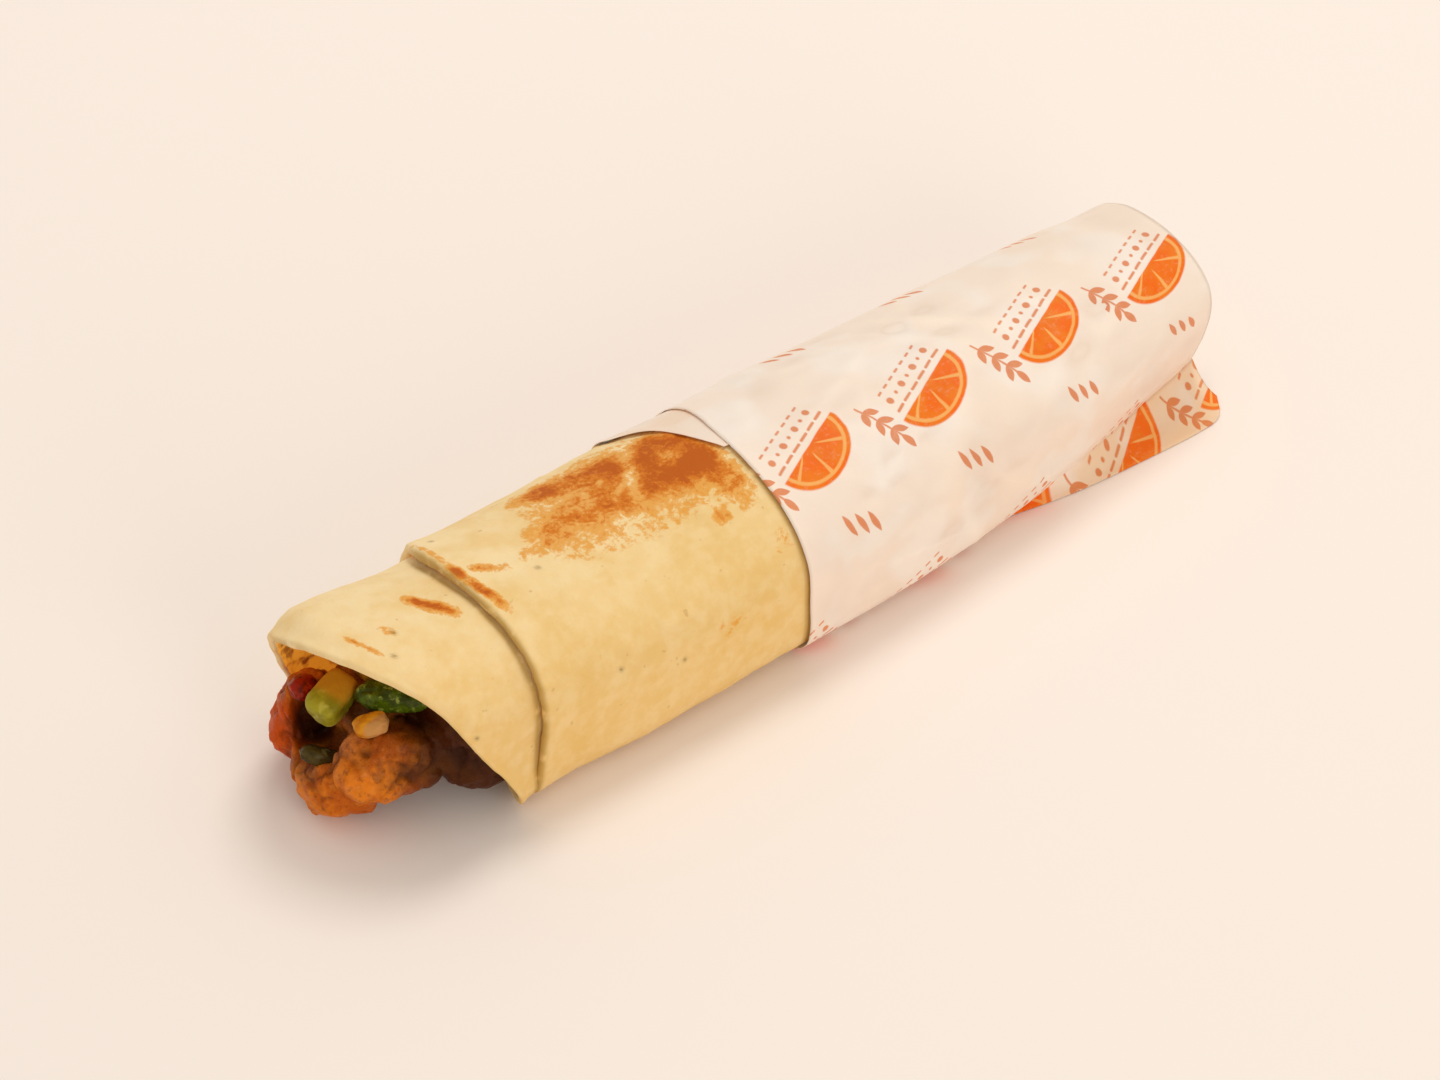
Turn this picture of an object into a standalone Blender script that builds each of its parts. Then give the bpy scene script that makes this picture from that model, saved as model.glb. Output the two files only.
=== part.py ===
"""A rolled flatbread wrap in a printed paper sleeve, lying on its side with the filling showing at the open end.

The world is in metres. +X runs along the wrap from the open end to the folded paper end, -Y is the near side
and +Z is up. The origin is on the ground under the middle of the wrap.

A place on the wrap is given by its station, the distance along X, and its turn, the share of the way round the
section: 0 at the top, 0.25 on the near side, 0.5 at the bottom and -0.25 on the far side.
"""

import math

import bmesh
import bpy
import numpy as np
from mathutils import Euler, Vector, noise

MM = 0.001

# Outer section of the rolled bread: station, half width, height, sideways shift, lean of the near foot.
SECTIONS = (
    (-124, 28.2, 51.5, 0.0, 0.0),
    (-85, 30.3, 47.8, 0.0, 0.0),
    (-45, 31.3, 45.2, 0.0, 0.0),
    (0, 31.0, 43.8, 0.0, 0.0),
    (45, 29.2, 42.8, 0.0, 0.0),
    (90, 25.9, 41.5, 0.6, 4.3),
    (130, 22.4, 38.8, 1.5, 10.0),
)
TOP_ROUNDNESS = 2.3
FOOT_ROUNDNESS = 5.0
FLAT_DEPTH = 0.9 * MM
LEAN_HEIGHT = 33.0 * MM
RAISED_BY_PAPER = 0.8 * MM
RAISED_AT_FRONT = 0.4 * MM
RAISE_STATIONS = (-40.0 * MM, -12.0 * MM)

# Bread
BREAD_THICKNESS = 2.35 * MM
TURN_OVERLAP = 1.0 * MM
FLARE_STATIONS = (-110.0 * MM, -87.0 * MM)
FLARE_INSET = 0.5 * MM
RIM = (
    (-0.36, -103.0),
    (-0.3, -111.8),
    (-0.25, -115.8),
    (-0.18, -119.6),
    (-0.1, -123.2),
    (-0.03, -123.4),
    (0.04, -118.9),
    (0.09, -113.6),
    (0.15, -107.2),
    (0.2, -103.3),
    (0.25, -99.0),
    (0.34, -90.2),
    (0.5, -85.5),
)
RIM_ROLL = 0.5 * MM
RIM_ROLL_LENGTH = 5.0 * MM
RIM_CURL = 3.4 * MM
RIM_CURL_TURN = -0.08
RIM_CURL_SPREAD = 0.09
RIM_CURL_LENGTH = 8.0 * MM
CORNER_FLARE = 4.2 * MM
CORNER_FLARE_TURN = 0.345
CORNER_FLARE_SPREAD = 0.06
CORNER_FLARE_LENGTH = 8.0 * MM
LIP = (
    (-0.3, -80.5),
    (-0.16, -79.5),
    (-0.08, -84.5),
    (0.0, -84.0),
    (0.12, -83.2),
    (0.25, -83.8),
    (0.34, -85.0),
    (0.5, -83.0),
)
LIP_LIFT = 2.4 * MM
LIP_LIFT_TURN = -0.07
LIP_LIFT_SPREAD = 0.06
LIP_LIFT_LENGTH = 5.0 * MM
LIP_LOOSE = 0.25 * MM
BREAD_INNER_END = 100.0 * MM
BREAD_END = 108.0 * MM
BREAD_END_DEPTH = 14.0 * MM

# Paper sleeve, its loose first turn on the far side, and the tail that lies on the ground
PAPER_THICKNESS = 0.45 * MM
PAPER_GAP = 0.35 * MM
PAPER_FRONT = (
    (-0.3, -5.0),
    (-0.12, -3.4),
    (-0.02, -5.4),
    (0.1, -6.9),
    (0.25, -7.6),
    (0.36, -7.4),
    (0.5, -6.5),
)
FIRST_TURN_FRONT = (
    (-0.34, -17.0),
    (-0.2, -21.5),
    (-0.135, -22.5),
    (-0.115, -18.5),
    (-0.09, -14.5),
    (-0.055, -11.4),
    (0.0, -6.9),
)
FIRST_TURN_BACK = 2.0 * MM
FIRST_TURN_INSET = 0.12 * MM
PAPER_END = 129.0 * MM
PAPER_END_DISH = 3.0 * MM
PAPER_END_ROWS = ((0.97, -0.35), (0.8, 0.1), (0.45, 0.7))
TAIL = ((58, -23.0), (80, -26.3), (102, -28.3), (121, -29.0), (128.5, -25.0), (130, -16.6), (130, -6.0))
TAIL_ROOT = ((100, -8.0), (70, -12.0), (56, -16.0))
TAIL_THICKNESS = 0.35 * MM
TAIL_RAISE = 0.05 * MM

# Filling
FILLING_GAP = 0.9 * MM
FILLING_NOSE = -105.0 * MM
FILLING_SHOULDER = -91.0 * MM
FILLING_END = 97.0 * MM
FILLING_END_DEPTH = 10.0 * MM
POCKET_GAP = 0.35 * MM

# Meat pieces that stand out of the open end: centre, half sizes, yaw, roughness, fineness of the ball.
MEAT_PIECES = (
    ((-111.4, -8.2, 16.1), (13.4, 8.8, 9.2), -8, 0.14, 4),
    ((-115.6, 15.0, 15.2), (8.8, 8.2, 10.8), 0, 0.18, 3),
    ((-118.4, 2.0, 9.2), (10.2, 11.4, 7.8), -12, 0.14, 3),
    ((-104.9, 4.0, 17.4), (11.0, 13.5, 11.0), 0, 0.12, 3),
)

MEAT_SQUARENESS = 2.3
CORE_COLUMN_STEP = 2

# Vegetables: name, centre, half sizes, turns about X, Y and Z, squareness, roughness.
VEGETABLES = (
    ("lime_pickle", (-115.6, 6.3, 27.2), (6.2, 4.3, 3.5), (8, -12, 16), 4.0, 0.05),
    ("green_pepper", (-106.2, -4.1, 29.6), (8.4, 4.1, 3.8), (-6, 0, -42), 2.4, 0.14),
    ("yellow_pepper", (-114.6, -6.9, 27.7), (3.9, 2.7, 2.4), (0, -12, -36), 2.8, 0.10),
    ("yellow_strip", (-105.1, 6.5, 30.2), (3.0, 4.2, 2.8), (8, 0, 6), 2.8, 0.08),
    ("pepper_strip", (-122.2, 1.8, 16.1), (5.4, 2.2, 2.0), (0, 24, -34), 2.8, 0.08),
    ("tomato_bit", (-117.9, 14.4, 25.8), (3.4, 3.0, 2.4), (0, 0, 20), 2.4, 0.10),
)

VEGETABLE_FINENESS = 3
FIRST_VEGETABLE_SEED = 20

# Unevenness of a piece of food: the two sizes of its bumps, the share of the finer one, and the step between seeds
BUMP_SCALES = (1.3, 3.1)
FINE_BUMP_SHARE = 0.5
SEED_STEP = (7.3, 3.1, 5.7)

# Gentle dents pressed into the bread: station, turn, radius, depth
DENTS = ((-72, 0.30, 13.0, 1.3), (-36, 0.10, 26.0, 0.8), (-62, -0.02, 20.0, 0.6))
UNEVENNESS = 0.45 * MM
UNEVEN_SIZE = 34.0 * MM
FLAT_TURNS = (0.34, 0.42)

# Fineness of the surfaces
TANGENT_ANGLE = 0.01
COLUMNS = 48
FRONT_CLOSENESS = 2.2
INNER_ROWS = 11
OUTER_ROWS = 12
FILLING_ROWS = 10
PAPER_ROWS = 13
FIRST_TURN_ROWS = 4
SHARP_ANGLE = math.radians(40)
CAP_POWER = 2.5
CAP_SHRINKS = (0.985, 0.93, 0.8, 0.55, 0.25)


def smooth(knots, place):
    """Value at a place on the smooth curve through (place, value) knots, held level beyond its ends."""
    if place <= knots[0][0]:
        return knots[0][1]
    if place >= knots[-1][0]:
        return knots[-1][1]
    after = next(index for index, knot in enumerate(knots) if knot[0] > place)
    ring = [knots[min(max(index, 0), len(knots) - 1)] for index in range(after - 2, after + 2)]
    span = ring[2][0] - ring[1][0]
    share = (place - ring[1][0]) / span
    slope_in = (ring[2][1] - ring[0][1]) / (ring[2][0] - ring[0][0]) * span
    slope_out = (ring[3][1] - ring[1][1]) / (ring[3][0] - ring[1][0]) * span
    square = share * share
    cube = square * share
    return (
        (2 * cube - 3 * square + 1) * ring[1][1]
        + (cube - 2 * square + share) * slope_in
        + (3 * square - 2 * cube) * ring[2][1]
        + (cube - square) * slope_out
    )


def around(knots, turn):
    """Value at a turn on the smooth closed curve through (turn, value) knots."""
    place = (turn + 0.5) % 1.0 - 0.5
    closed = [(knot[0] + lap, knot[1]) for lap in (-1, 0, 1) for knot in knots]
    return smooth(closed, place)


def ease(start, end, place):
    """0 before start, 1 after end, and a soft rise between them."""
    share = min(max((place - start) / (end - start), 0.0), 1.0)
    return share * share * (3 - 2 * share)


def section_size(station):
    """Half width, height, sideways shift and foot lean of the bread at a station, in metres."""
    place = station / MM
    columns = range(1, len(SECTIONS[0]))
    return [smooth([(row[0], row[column]) for row in SECTIONS], place) * MM for column in columns]


def outline_at_angle(angle, half_width, height):
    """Point of the rounded section in the direction of an angle: 0 is up and +90 degrees is the near side."""
    side = -math.sin(angle)
    up = math.cos(angle)
    roundness = TOP_ROUNDNESS if up >= 0 else FOOT_ROUNDNESS
    half_height = (height + FLAT_DEPTH) / 2
    reach = (abs(side) / half_width) ** roundness + (abs(up) / half_height) ** roundness
    radius = reach ** (-1 / roundness)
    return side * radius, up * radius + half_height - FLAT_DEPTH


def angles_of_turns():
    """Angles and turns along one section, so that equal turns are equal lengths of its outline."""
    half_width, height = section_size(0.0)[:2]
    angles = np.linspace(-math.pi, math.pi, 721)
    points = np.array([outline_at_angle(angle, half_width, height) for angle in angles])
    steps = np.hypot(*np.diff(points, axis=0).T)
    lengths = np.concatenate([[0.0], np.cumsum(steps)])
    return angles, lengths / lengths[-1] - 0.5


ANGLES, TURNS = angles_of_turns()


def raised(station):
    """Height of the bread's underside over the ground."""
    return RAISED_AT_FRONT + (RAISED_BY_PAPER - RAISED_AT_FRONT) * ease(*RAISE_STATIONS, station)


def swelling(station, turn):
    """How far the hand-rolled bread stands out from, or is pressed in from, its even section."""
    half_width = section_size(station)[0]
    angle = turn * math.tau
    spot = Vector((station, half_width * math.sin(angle), half_width * math.cos(angle))) / UNEVEN_SIZE
    out = UNEVENNESS * noise.noise(spot)
    for centre, centre_turn, radius, depth in DENTS:
        along = station / MM - centre
        round_it = (turn - centre_turn) * math.tau * half_width / MM
        out -= depth * MM * math.exp(-(along * along + round_it * round_it) / (radius * radius))
    return out * (1 - ease(*FLAT_TURNS, abs(turn)))


def wrap_point(station, turn, inset=0.0):
    """Point on the wrap at a station and turn, inset from the outer face of the bread."""
    half_width, height, shift, lean = section_size(station)
    angle = float(np.interp(turn, TURNS, ANGLES))
    before = outline_at_angle(angle - TANGENT_ANGLE, half_width, height)
    after = outline_at_angle(angle + TANGENT_ANGLE, half_width, height)
    run = Vector((after[0] - before[0], after[1] - before[1])).normalized()
    side, up = outline_at_angle(angle, half_width, height)
    inward = inset - swelling(station, turn)
    y = side - run.y * inward
    z = up + run.x * inward
    z = max(z, inset) + raised(station)
    near = max(-y / half_width, 0.0)
    y += shift + lean * near * max(0.0, 1 - z / LEAN_HEIGHT)
    return Vector((station, y, z))


def turns_round():
    """The turns of the columns, once round the section from the bottom over the far side."""
    return [index / COLUMNS - 0.5 for index in range(COLUMNS)]


def surface_object(name, rows, closed, pole=None, first_pole=None):
    """Object of the surface through rows of points, closed round the section or not, with poles at its ends."""
    mesh = bpy.data.meshes.new(name)
    form = bmesh.new()
    grid = [[form.verts.new(point) for point in row] for row in rows]
    width = len(grid[0])
    spans = width if closed else width - 1
    for lower, upper in zip(grid, grid[1:]):
        for index in range(spans):
            following = (index + 1) % width
            form.faces.new((lower[index], lower[following], upper[following], upper[index]))
    for centre, row, is_last in ((first_pole, grid[0], False), (pole, grid[-1], True)):
        if centre is None:
            continue
        tip = form.verts.new(centre)
        for index in range(width):
            corners = (row[index], row[(index + 1) % width], tip)
            form.faces.new(corners if is_last else corners[::-1])
    for face in form.faces:
        face.smooth = True
    form.to_mesh(mesh)
    form.free()
    return bpy.data.objects.new(name, mesh)


def shrunk_row(turns, station, inset, shrink):
    """The section at a station, shrunk towards its middle."""
    row = [wrap_point(station, turn, inset) for turn in turns]
    centre = sum(row, Vector()) / len(row)
    return [centre + (point - centre) * shrink for point in row]


def cap_rows(turns, inset, start, depth):
    """Rows that close a section like a rounded loaf end, and their tip. A negative depth bulges forward."""
    rows = []
    for shrink in CAP_SHRINKS:
        station = start + depth * (1 - shrink**CAP_POWER) ** (1 / CAP_POWER)
        rows.append(shrunk_row(turns, station, inset, shrink))
    tip = shrunk_row(turns, start + depth, inset, 0.0)[0]
    return rows, tip


def add_solidify(item, thickness, even=True):
    """Makes the open surface a wall that grows inwards from it. An even one keeps its thickness at bends."""
    wall = item.modifiers.new("Wall", "SOLIDIFY")
    wall.thickness = thickness
    wall.offset = -1.0
    wall.use_even_offset = even


def baked(item):
    """The same object with its modifiers applied."""
    bpy.context.view_layer.update()
    graph = bpy.context.evaluated_depsgraph_get()
    mesh = bpy.data.meshes.new_from_object(item.evaluated_get(graph))
    item.modifiers.clear()
    item.data = mesh
    return item


def united(name, items):
    """One solid from overlapping ones, which are removed."""
    group = bpy.data.collections.new(name + "_pieces")
    bpy.context.scene.collection.children.link(group)
    base, *others = items
    for item in items:
        if item.name not in bpy.context.scene.collection.objects:
            bpy.context.scene.collection.objects.link(item)
    for item in others:
        group.objects.link(item)
    join = base.modifiers.new("Join", "BOOLEAN")
    join.operation = "UNION"
    join.operand_type = "COLLECTION"
    join.collection = group
    baked(base)
    for item in others:
        bpy.data.objects.remove(item)
    bpy.data.collections.remove(group)
    base.name = name
    base.data.set_sharp_from_angle(angle=SHARP_ANGLE)
    return base


def material(name, colour, roughness):
    """Plain Principled material."""
    paint = bpy.data.materials.new(name)
    paint.use_nodes = True
    shader = paint.node_tree.nodes["Principled BSDF"]
    shader.inputs["Base Color"].default_value = (*colour, 1.0)
    shader.inputs["Roughness"].default_value = roughness
    shader.inputs["Metallic"].default_value = 0.0
    return paint


def bump(place, centre, spread):
    """Soft bump of height 1 at its centre."""
    return math.exp(-(((place - centre) / spread) ** 2))


def inner_turn_inset(station, turn):
    """Depth of the inner turn's outer face: it spreads out at the open end, where its rim rolls in and curls."""
    past_rim = max(station - around(RIM, turn) * MM, 0.0)
    inset = FLARE_INSET + (BREAD_THICKNESS - FLARE_INSET) * ease(*FLARE_STATIONS, station)
    inset += RIM_ROLL * (1 - ease(0.0, RIM_ROLL_LENGTH, past_rim))
    curl = RIM_CURL * bump(turn, RIM_CURL_TURN, RIM_CURL_SPREAD)
    inset += curl * (1 - ease(0.0, RIM_CURL_LENGTH, past_rim))
    flare = CORNER_FLARE * bump(turn, CORNER_FLARE_TURN, CORNER_FLARE_SPREAD)
    return inset - flare * math.exp(-past_rim / CORNER_FLARE_LENGTH)


def lip_rise(station, turn):
    """How far the outer turn's front edge stands off the inner turn."""
    past_lip = station - around(LIP, turn) * MM
    fade = math.exp(-max(past_lip, 0.0) / LIP_LIFT_LENGTH)
    lifted = LIP_LIFT * bump(turn, LIP_LIFT_TURN, LIP_LIFT_SPREAD)
    return (LIP_LOOSE + lifted) * fade


def bread_rows(front_knots, back, count, inset_at):
    """Rows of one turn of bread, closer at its front edge, up to a station at its back."""
    rows = []
    for index in range(count):
        share = (index / (count - 1)) ** FRONT_CLOSENESS
        row = []
        for turn in turns_round():
            front = around(front_knots, turn) * MM
            station = front + (back - front) * share
            row.append(wrap_point(station, turn, inset_at(station, turn)))
        rows.append(row)
    return rows


def make_flatbread():
    """Flatbread rolled in two turns: the inner one reaches out to the open end, the outer one ends at the lip."""
    rows = bread_rows(RIM, BREAD_INNER_END, INNER_ROWS, inner_turn_inset)
    inner = surface_object("inner_turn", rows, True)
    add_solidify(inner, BREAD_THICKNESS)
    rows = bread_rows(LIP, BREAD_END, OUTER_ROWS, lambda station, turn: -lip_rise(station, turn))
    caps, tip = cap_rows(turns_round(), 0.0, BREAD_END, BREAD_END_DEPTH)
    outer = surface_object("outer_turn", rows + caps, True, tip)
    add_solidify(outer, BREAD_THICKNESS + TURN_OVERLAP)
    for item in (inner, outer):
        bpy.context.scene.collection.objects.link(item)
        baked(item)
    return united("flatbread", [outer, inner])


def lump(name, centre, half_sizes, turns, squareness, roughness, fineness, seed, growth=0.0):
    """Uneven rounded piece of food, set at its place. Growth swells it all round."""
    mesh = bpy.data.meshes.new(name)
    form = bmesh.new()
    bmesh.ops.create_icosphere(form, subdivisions=fineness, radius=1.0)
    offset = Vector(SEED_STEP) * seed
    spread = Euler([math.radians(turn) for turn in turns]).to_matrix()
    for vertex in form.verts:
        way = vertex.co.normalized()
        reach = sum(abs(part) ** squareness for part in way) ** (-1 / squareness)
        coarse, fine = (noise.noise(way * scale + offset) for scale in BUMP_SCALES)
        radius = reach * (1 + roughness * (coarse + FINE_BUMP_SHARE * fine))
        size = Vector(half_sizes) * MM
        place = Vector((part * radius * extent for part, extent in zip(way, size)))
        vertex.co = spread @ (place + way * growth) + Vector(centre) * MM
    for face in form.faces:
        face.smooth = True
    form.to_mesh(mesh)
    form.free()
    return bpy.data.objects.new(name, mesh)


def filling_core():
    """The filling that runs through the bread, with a blunt nose inside the open end."""
    inset = 2 * BREAD_THICKNESS + FILLING_GAP
    length = FILLING_END - FILLING_SHOULDER
    stations = [FILLING_SHOULDER + length * row / (FILLING_ROWS - 1) for row in range(FILLING_ROWS)]
    turns = turns_round()[::CORE_COLUMN_STEP]
    rows = [[wrap_point(station, turn, inset) for turn in turns] for station in stations]
    front, nose = cap_rows(turns, inset, FILLING_SHOULDER, FILLING_NOSE - FILLING_SHOULDER)
    back, tail = cap_rows(turns, inset, FILLING_END, FILLING_END_DEPTH)
    return surface_object("filling_core", front[::-1] + rows + back, True, tail, nose)


def make_filling():
    """Meat core with the pieces that stand out of the open end fused on."""
    items = [filling_core()]
    for index, (centre, half_sizes, yaw, roughness, fineness) in enumerate(MEAT_PIECES):
        name = f"meat_piece_{index + 1}"
        turns = (0, 0, yaw)
        items.append(lump(name, centre, half_sizes, turns, MEAT_SQUARENESS, roughness, fineness, index + 1))
    return united("meat_filling", items)


def make_vegetables(growth=0.0, suffix=""):
    """The pieces of vegetable at the open end, as separate objects."""
    made = []
    for index, (name, centre, half_sizes, turns, squareness, roughness) in enumerate(VEGETABLES):
        seed = FIRST_VEGETABLE_SEED + index
        shape = (centre, half_sizes, turns, squareness, roughness, VEGETABLE_FINENESS)
        made.append(lump(name + suffix, *shape, seed, growth))
    return made


def paper_sleeve():
    """Sleeve from its front edge to its closed end, as an open surface."""
    outer = -(PAPER_GAP + PAPER_THICKNESS)
    rows = []
    for index in range(PAPER_ROWS):
        share = index / (PAPER_ROWS - 1)
        row = []
        for turn in turns_round():
            front = around(PAPER_FRONT, turn) * MM
            row.append(wrap_point(front + (PAPER_END - front) * share, turn, outer))
        rows.append(row)
    for shrink, dish in PAPER_END_ROWS:
        rows.append(shrunk_row(turns_round(), PAPER_END - PAPER_END_DISH * dish, outer, shrink))
    tip = shrunk_row(turns_round(), PAPER_END - PAPER_END_DISH, outer, 0.0)[0]
    return surface_object("sleeve", rows, True, tip)


def first_paper_turn():
    """The first turn of the paper, which shows past the sleeve's edge on the far side."""
    outer = -(PAPER_GAP + PAPER_THICKNESS - FIRST_TURN_INSET)
    turns = [turn for turn in turns_round() if FIRST_TURN_FRONT[0][0] < turn < FIRST_TURN_FRONT[-1][0]]
    rows = []
    for index in range(FIRST_TURN_ROWS):
        share = index / (FIRST_TURN_ROWS - 1)
        row = []
        for turn in turns:
            front = smooth(FIRST_TURN_FRONT, turn) * MM
            row.append(wrap_point(front + (FIRST_TURN_BACK - front) * share, turn, outer))
        rows.append(row)
    return surface_object("first_turn", rows, False)


def paper_tail():
    """The end of the sheet, which lies on the ground beside the foot of the sleeve."""
    mesh = bpy.data.meshes.new("tail")
    form = bmesh.new()
    corners = [form.verts.new((x * MM, y * MM, TAIL_RAISE)) for x, y in TAIL + TAIL_ROOT]
    flat = form.faces.new(corners)
    grown = bmesh.ops.extrude_face_region(form, geom=[flat])
    lifted = [item for item in grown["geom"] if isinstance(item, bmesh.types.BMVert)]
    bmesh.ops.translate(form, verts=lifted, vec=(0, 0, TAIL_THICKNESS))
    bmesh.ops.recalc_face_normals(form, faces=form.faces)
    form.to_mesh(mesh)
    form.free()
    return bpy.data.objects.new("tail", mesh)


def make_paper():
    """Paper sleeve with its first turn and its tail."""
    sleeve = paper_sleeve()
    add_solidify(sleeve, PAPER_THICKNESS, even=False)
    first = first_paper_turn()
    add_solidify(first, PAPER_THICKNESS - 2 * FIRST_TURN_INSET)
    for item in (sleeve, first):
        bpy.context.scene.collection.objects.link(item)
        baked(item)
    return united("paper_wrap", [sleeve, first, paper_tail()])


def cut_pockets(item, cutters):
    """Hollows the item where the cutters lie in it, and keeps the cutters as hidden guides."""
    store = bpy.data.collections.new("pocket_cutters")
    bpy.context.scene.collection.children.link(store)
    for cutter in cutters:
        store.objects.link(cutter)
        cutter.hide_render = True
        cutter.display_type = "WIRE"
    cut = item.modifiers.new("Pockets", "BOOLEAN")
    cut.operation = "DIFFERENCE"
    cut.operand_type = "COLLECTION"
    cut.collection = store


def main():
    for item in list(bpy.data.objects):
        bpy.data.objects.remove(item)
    wrap = bpy.data.collections.new("flatbread_wrap")
    bpy.context.scene.collection.children.link(wrap)

    bread = make_flatbread()
    filling = make_filling()
    paper = make_paper()
    for item in (bread, filling, paper):
        bpy.context.scene.collection.objects.unlink(item)
        wrap.objects.link(item)
    vegetables = make_vegetables()
    for item in vegetables:
        wrap.objects.link(item)
    cut_pockets(filling, make_vegetables(POCKET_GAP, "_pocket"))

    finishes = {
        "flatbread": material("flatbread", (0.78, 0.58, 0.30), 0.7),
        "meat_filling": material("grilled_meat", (0.28, 0.08, 0.02), 0.35),
        "paper_wrap": material("greaseproof_paper", (0.90, 0.78, 0.66), 0.6),
        "lime_pickle": material("pickle_flesh", (0.35, 0.33, 0.04), 0.3),
        "green_pepper": material("green_pepper", (0.06, 0.14, 0.02), 0.3),
        "yellow_pepper": material("yellow_pepper", (0.65, 0.33, 0.03), 0.3),
        "yellow_strip": material("yellow_strip", (0.60, 0.36, 0.05), 0.3),
        "pepper_strip": material("dark_pepper", (0.05, 0.09, 0.02), 0.3),
        "tomato_bit": material("tomato", (0.45, 0.03, 0.01), 0.3),
    }
    for item in wrap.objects:
        item.data.materials.clear()
        item.data.materials.append(finishes[item.name])


main()
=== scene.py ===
"""Looks of a rolled flatbread wrap in a printed paper sleeve, in metres in the frame of the CAD model.

+X runs along the wrap from the open end to the folded paper end, -Y is the near side and +Z is up. A place
on the wrap is given by its station along X and its turn: 0 at the top, 0.25 on the near side and 0.5 at the
bottom.
"""

import itertools
import math

import bmesh
import bpy
import numpy as np
from mathutils import Euler, Matrix, Vector, noise


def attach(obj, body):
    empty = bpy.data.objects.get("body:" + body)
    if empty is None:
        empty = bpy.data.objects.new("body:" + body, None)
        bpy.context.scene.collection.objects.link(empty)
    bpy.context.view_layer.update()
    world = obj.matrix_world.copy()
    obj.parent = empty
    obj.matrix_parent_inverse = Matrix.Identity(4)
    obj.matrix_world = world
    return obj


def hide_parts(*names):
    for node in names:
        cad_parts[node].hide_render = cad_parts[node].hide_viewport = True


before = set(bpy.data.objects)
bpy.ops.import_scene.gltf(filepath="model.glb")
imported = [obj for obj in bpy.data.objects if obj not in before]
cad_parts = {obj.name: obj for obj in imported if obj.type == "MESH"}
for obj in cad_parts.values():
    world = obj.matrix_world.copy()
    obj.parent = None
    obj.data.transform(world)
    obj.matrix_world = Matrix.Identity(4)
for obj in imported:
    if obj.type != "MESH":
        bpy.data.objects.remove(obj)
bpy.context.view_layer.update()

MM = 0.001

# Outer section of the rolled bread: station, half width, height, sideways shift, lean of the near foot.
SECTIONS = (
    (-124, 28.2, 51.5, 0.0, 0.0),
    (-85, 30.3, 47.8, 0.0, 0.0),
    (-45, 31.3, 45.2, 0.0, 0.0),
    (0, 31.0, 43.8, 0.0, 0.0),
    (45, 29.2, 42.8, 0.0, 0.0),
    (90, 25.9, 41.5, 0.6, 4.3),
    (130, 22.4, 38.8, 1.5, 10.0),
)
TOP_ROUNDNESS = 2.3
FOOT_ROUNDNESS = 5.0
FLAT_DEPTH = 0.9 * MM
LEAN_HEIGHT = 33.0 * MM
RAISED_BY_PAPER = 0.8 * MM
RAISED_AT_FRONT = 0.4 * MM
RAISE_STATIONS = (-40.0 * MM, -12.0 * MM)
TANGENT_ANGLE = 0.01
ARC = 168.0 * MM

# Bread
BREAD_THICKNESS = 2.35 * MM
FLARE_STATIONS = (-110.0 * MM, -87.0 * MM)
FLARE_INSET = 0.5 * MM
RIM = (
    (-0.36, -103.0),
    (-0.3, -111.8),
    (-0.25, -115.8),
    (-0.18, -119.6),
    (-0.1, -123.2),
    (-0.03, -123.4),
    (0.04, -118.9),
    (0.09, -113.6),
    (0.15, -107.2),
    (0.2, -103.3),
    (0.25, -99.0),
    (0.34, -90.2),
    (0.5, -85.5),
)
RIM_ROLL = 0.5 * MM
RIM_ROLL_LENGTH = 5.0 * MM
RIM_CURL = 3.4 * MM
RIM_CURL_TURN = -0.08
RIM_CURL_SPREAD = 0.09
RIM_CURL_LENGTH = 8.0 * MM
CORNER_FLARE = 4.2 * MM
CORNER_FLARE_TURN = 0.345
CORNER_FLARE_SPREAD = 0.06
CORNER_FLARE_LENGTH = 8.0 * MM
LIP = (
    (-0.3, -80.5),
    (-0.16, -79.5),
    (-0.08, -84.5),
    (0.0, -84.0),
    (0.12, -83.2),
    (0.25, -83.8),
    (0.34, -85.0),
    (0.5, -83.0),
)
LIP_LIFT = 2.4 * MM
LIP_LIFT_TURN = -0.07
LIP_LIFT_SPREAD = 0.06
LIP_LIFT_LENGTH = 5.0 * MM
LIP_LOOSE = 0.25 * MM
BREAD_INNER_END = 100.0 * MM
BREAD_END = 108.0 * MM
BREAD_END_DEPTH = 14.0 * MM
TIP_DEPTH = 0.6 * MM
DENTS = ((-72, 0.30, 13.0, 1.3), (-36, 0.10, 26.0, 0.8), (-62, -0.02, 20.0, 0.6))
UNEVENNESS = 0.45 * MM
UNEVEN_SIZE = 34.0 * MM
FLAT_TURNS = (0.34, 0.42)

# Paper
PAPER_THICKNESS = 0.22 * MM
PAPER_OUT = 0.8 * MM
PAPER_FRONT = (
    (-0.3, -5.0),
    (-0.12, -3.4),
    (-0.02, -5.4),
    (0.1, -6.9),
    (0.25, -7.6),
    (0.36, -7.4),
    (0.5, -6.5),
)
FIRST_TURN_FRONT = (
    (-0.34, -17.0),
    (-0.2, -21.5),
    (-0.135, -22.5),
    (-0.115, -18.5),
    (-0.09, -14.5),
    (-0.055, -11.4),
    (0.0, -6.9),
)
PAPER_END = 129.0 * MM
PAPER_END_DISH = 3.0 * MM
PLEATS = 9
PLEAT_HEIGHT = 0.45 * MM
FIRST_TURN_OUT = 0.62 * MM
PAPER_END_ROWS = (
    (0.985, 0.12),
    (0.97, -0.25),
    (0.94, -0.36),
    (0.87, -0.2),
    (0.8, 0.1),
    (0.65, 0.4),
    (0.45, 0.7),
)
TAIL_EDGE = ((56, -21.5), (80, -26.3), (102, -28.3), (121, -29.0), (126, -27.4), (130, -22.0))
TAIL_TOP = 0.4 * MM

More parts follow.
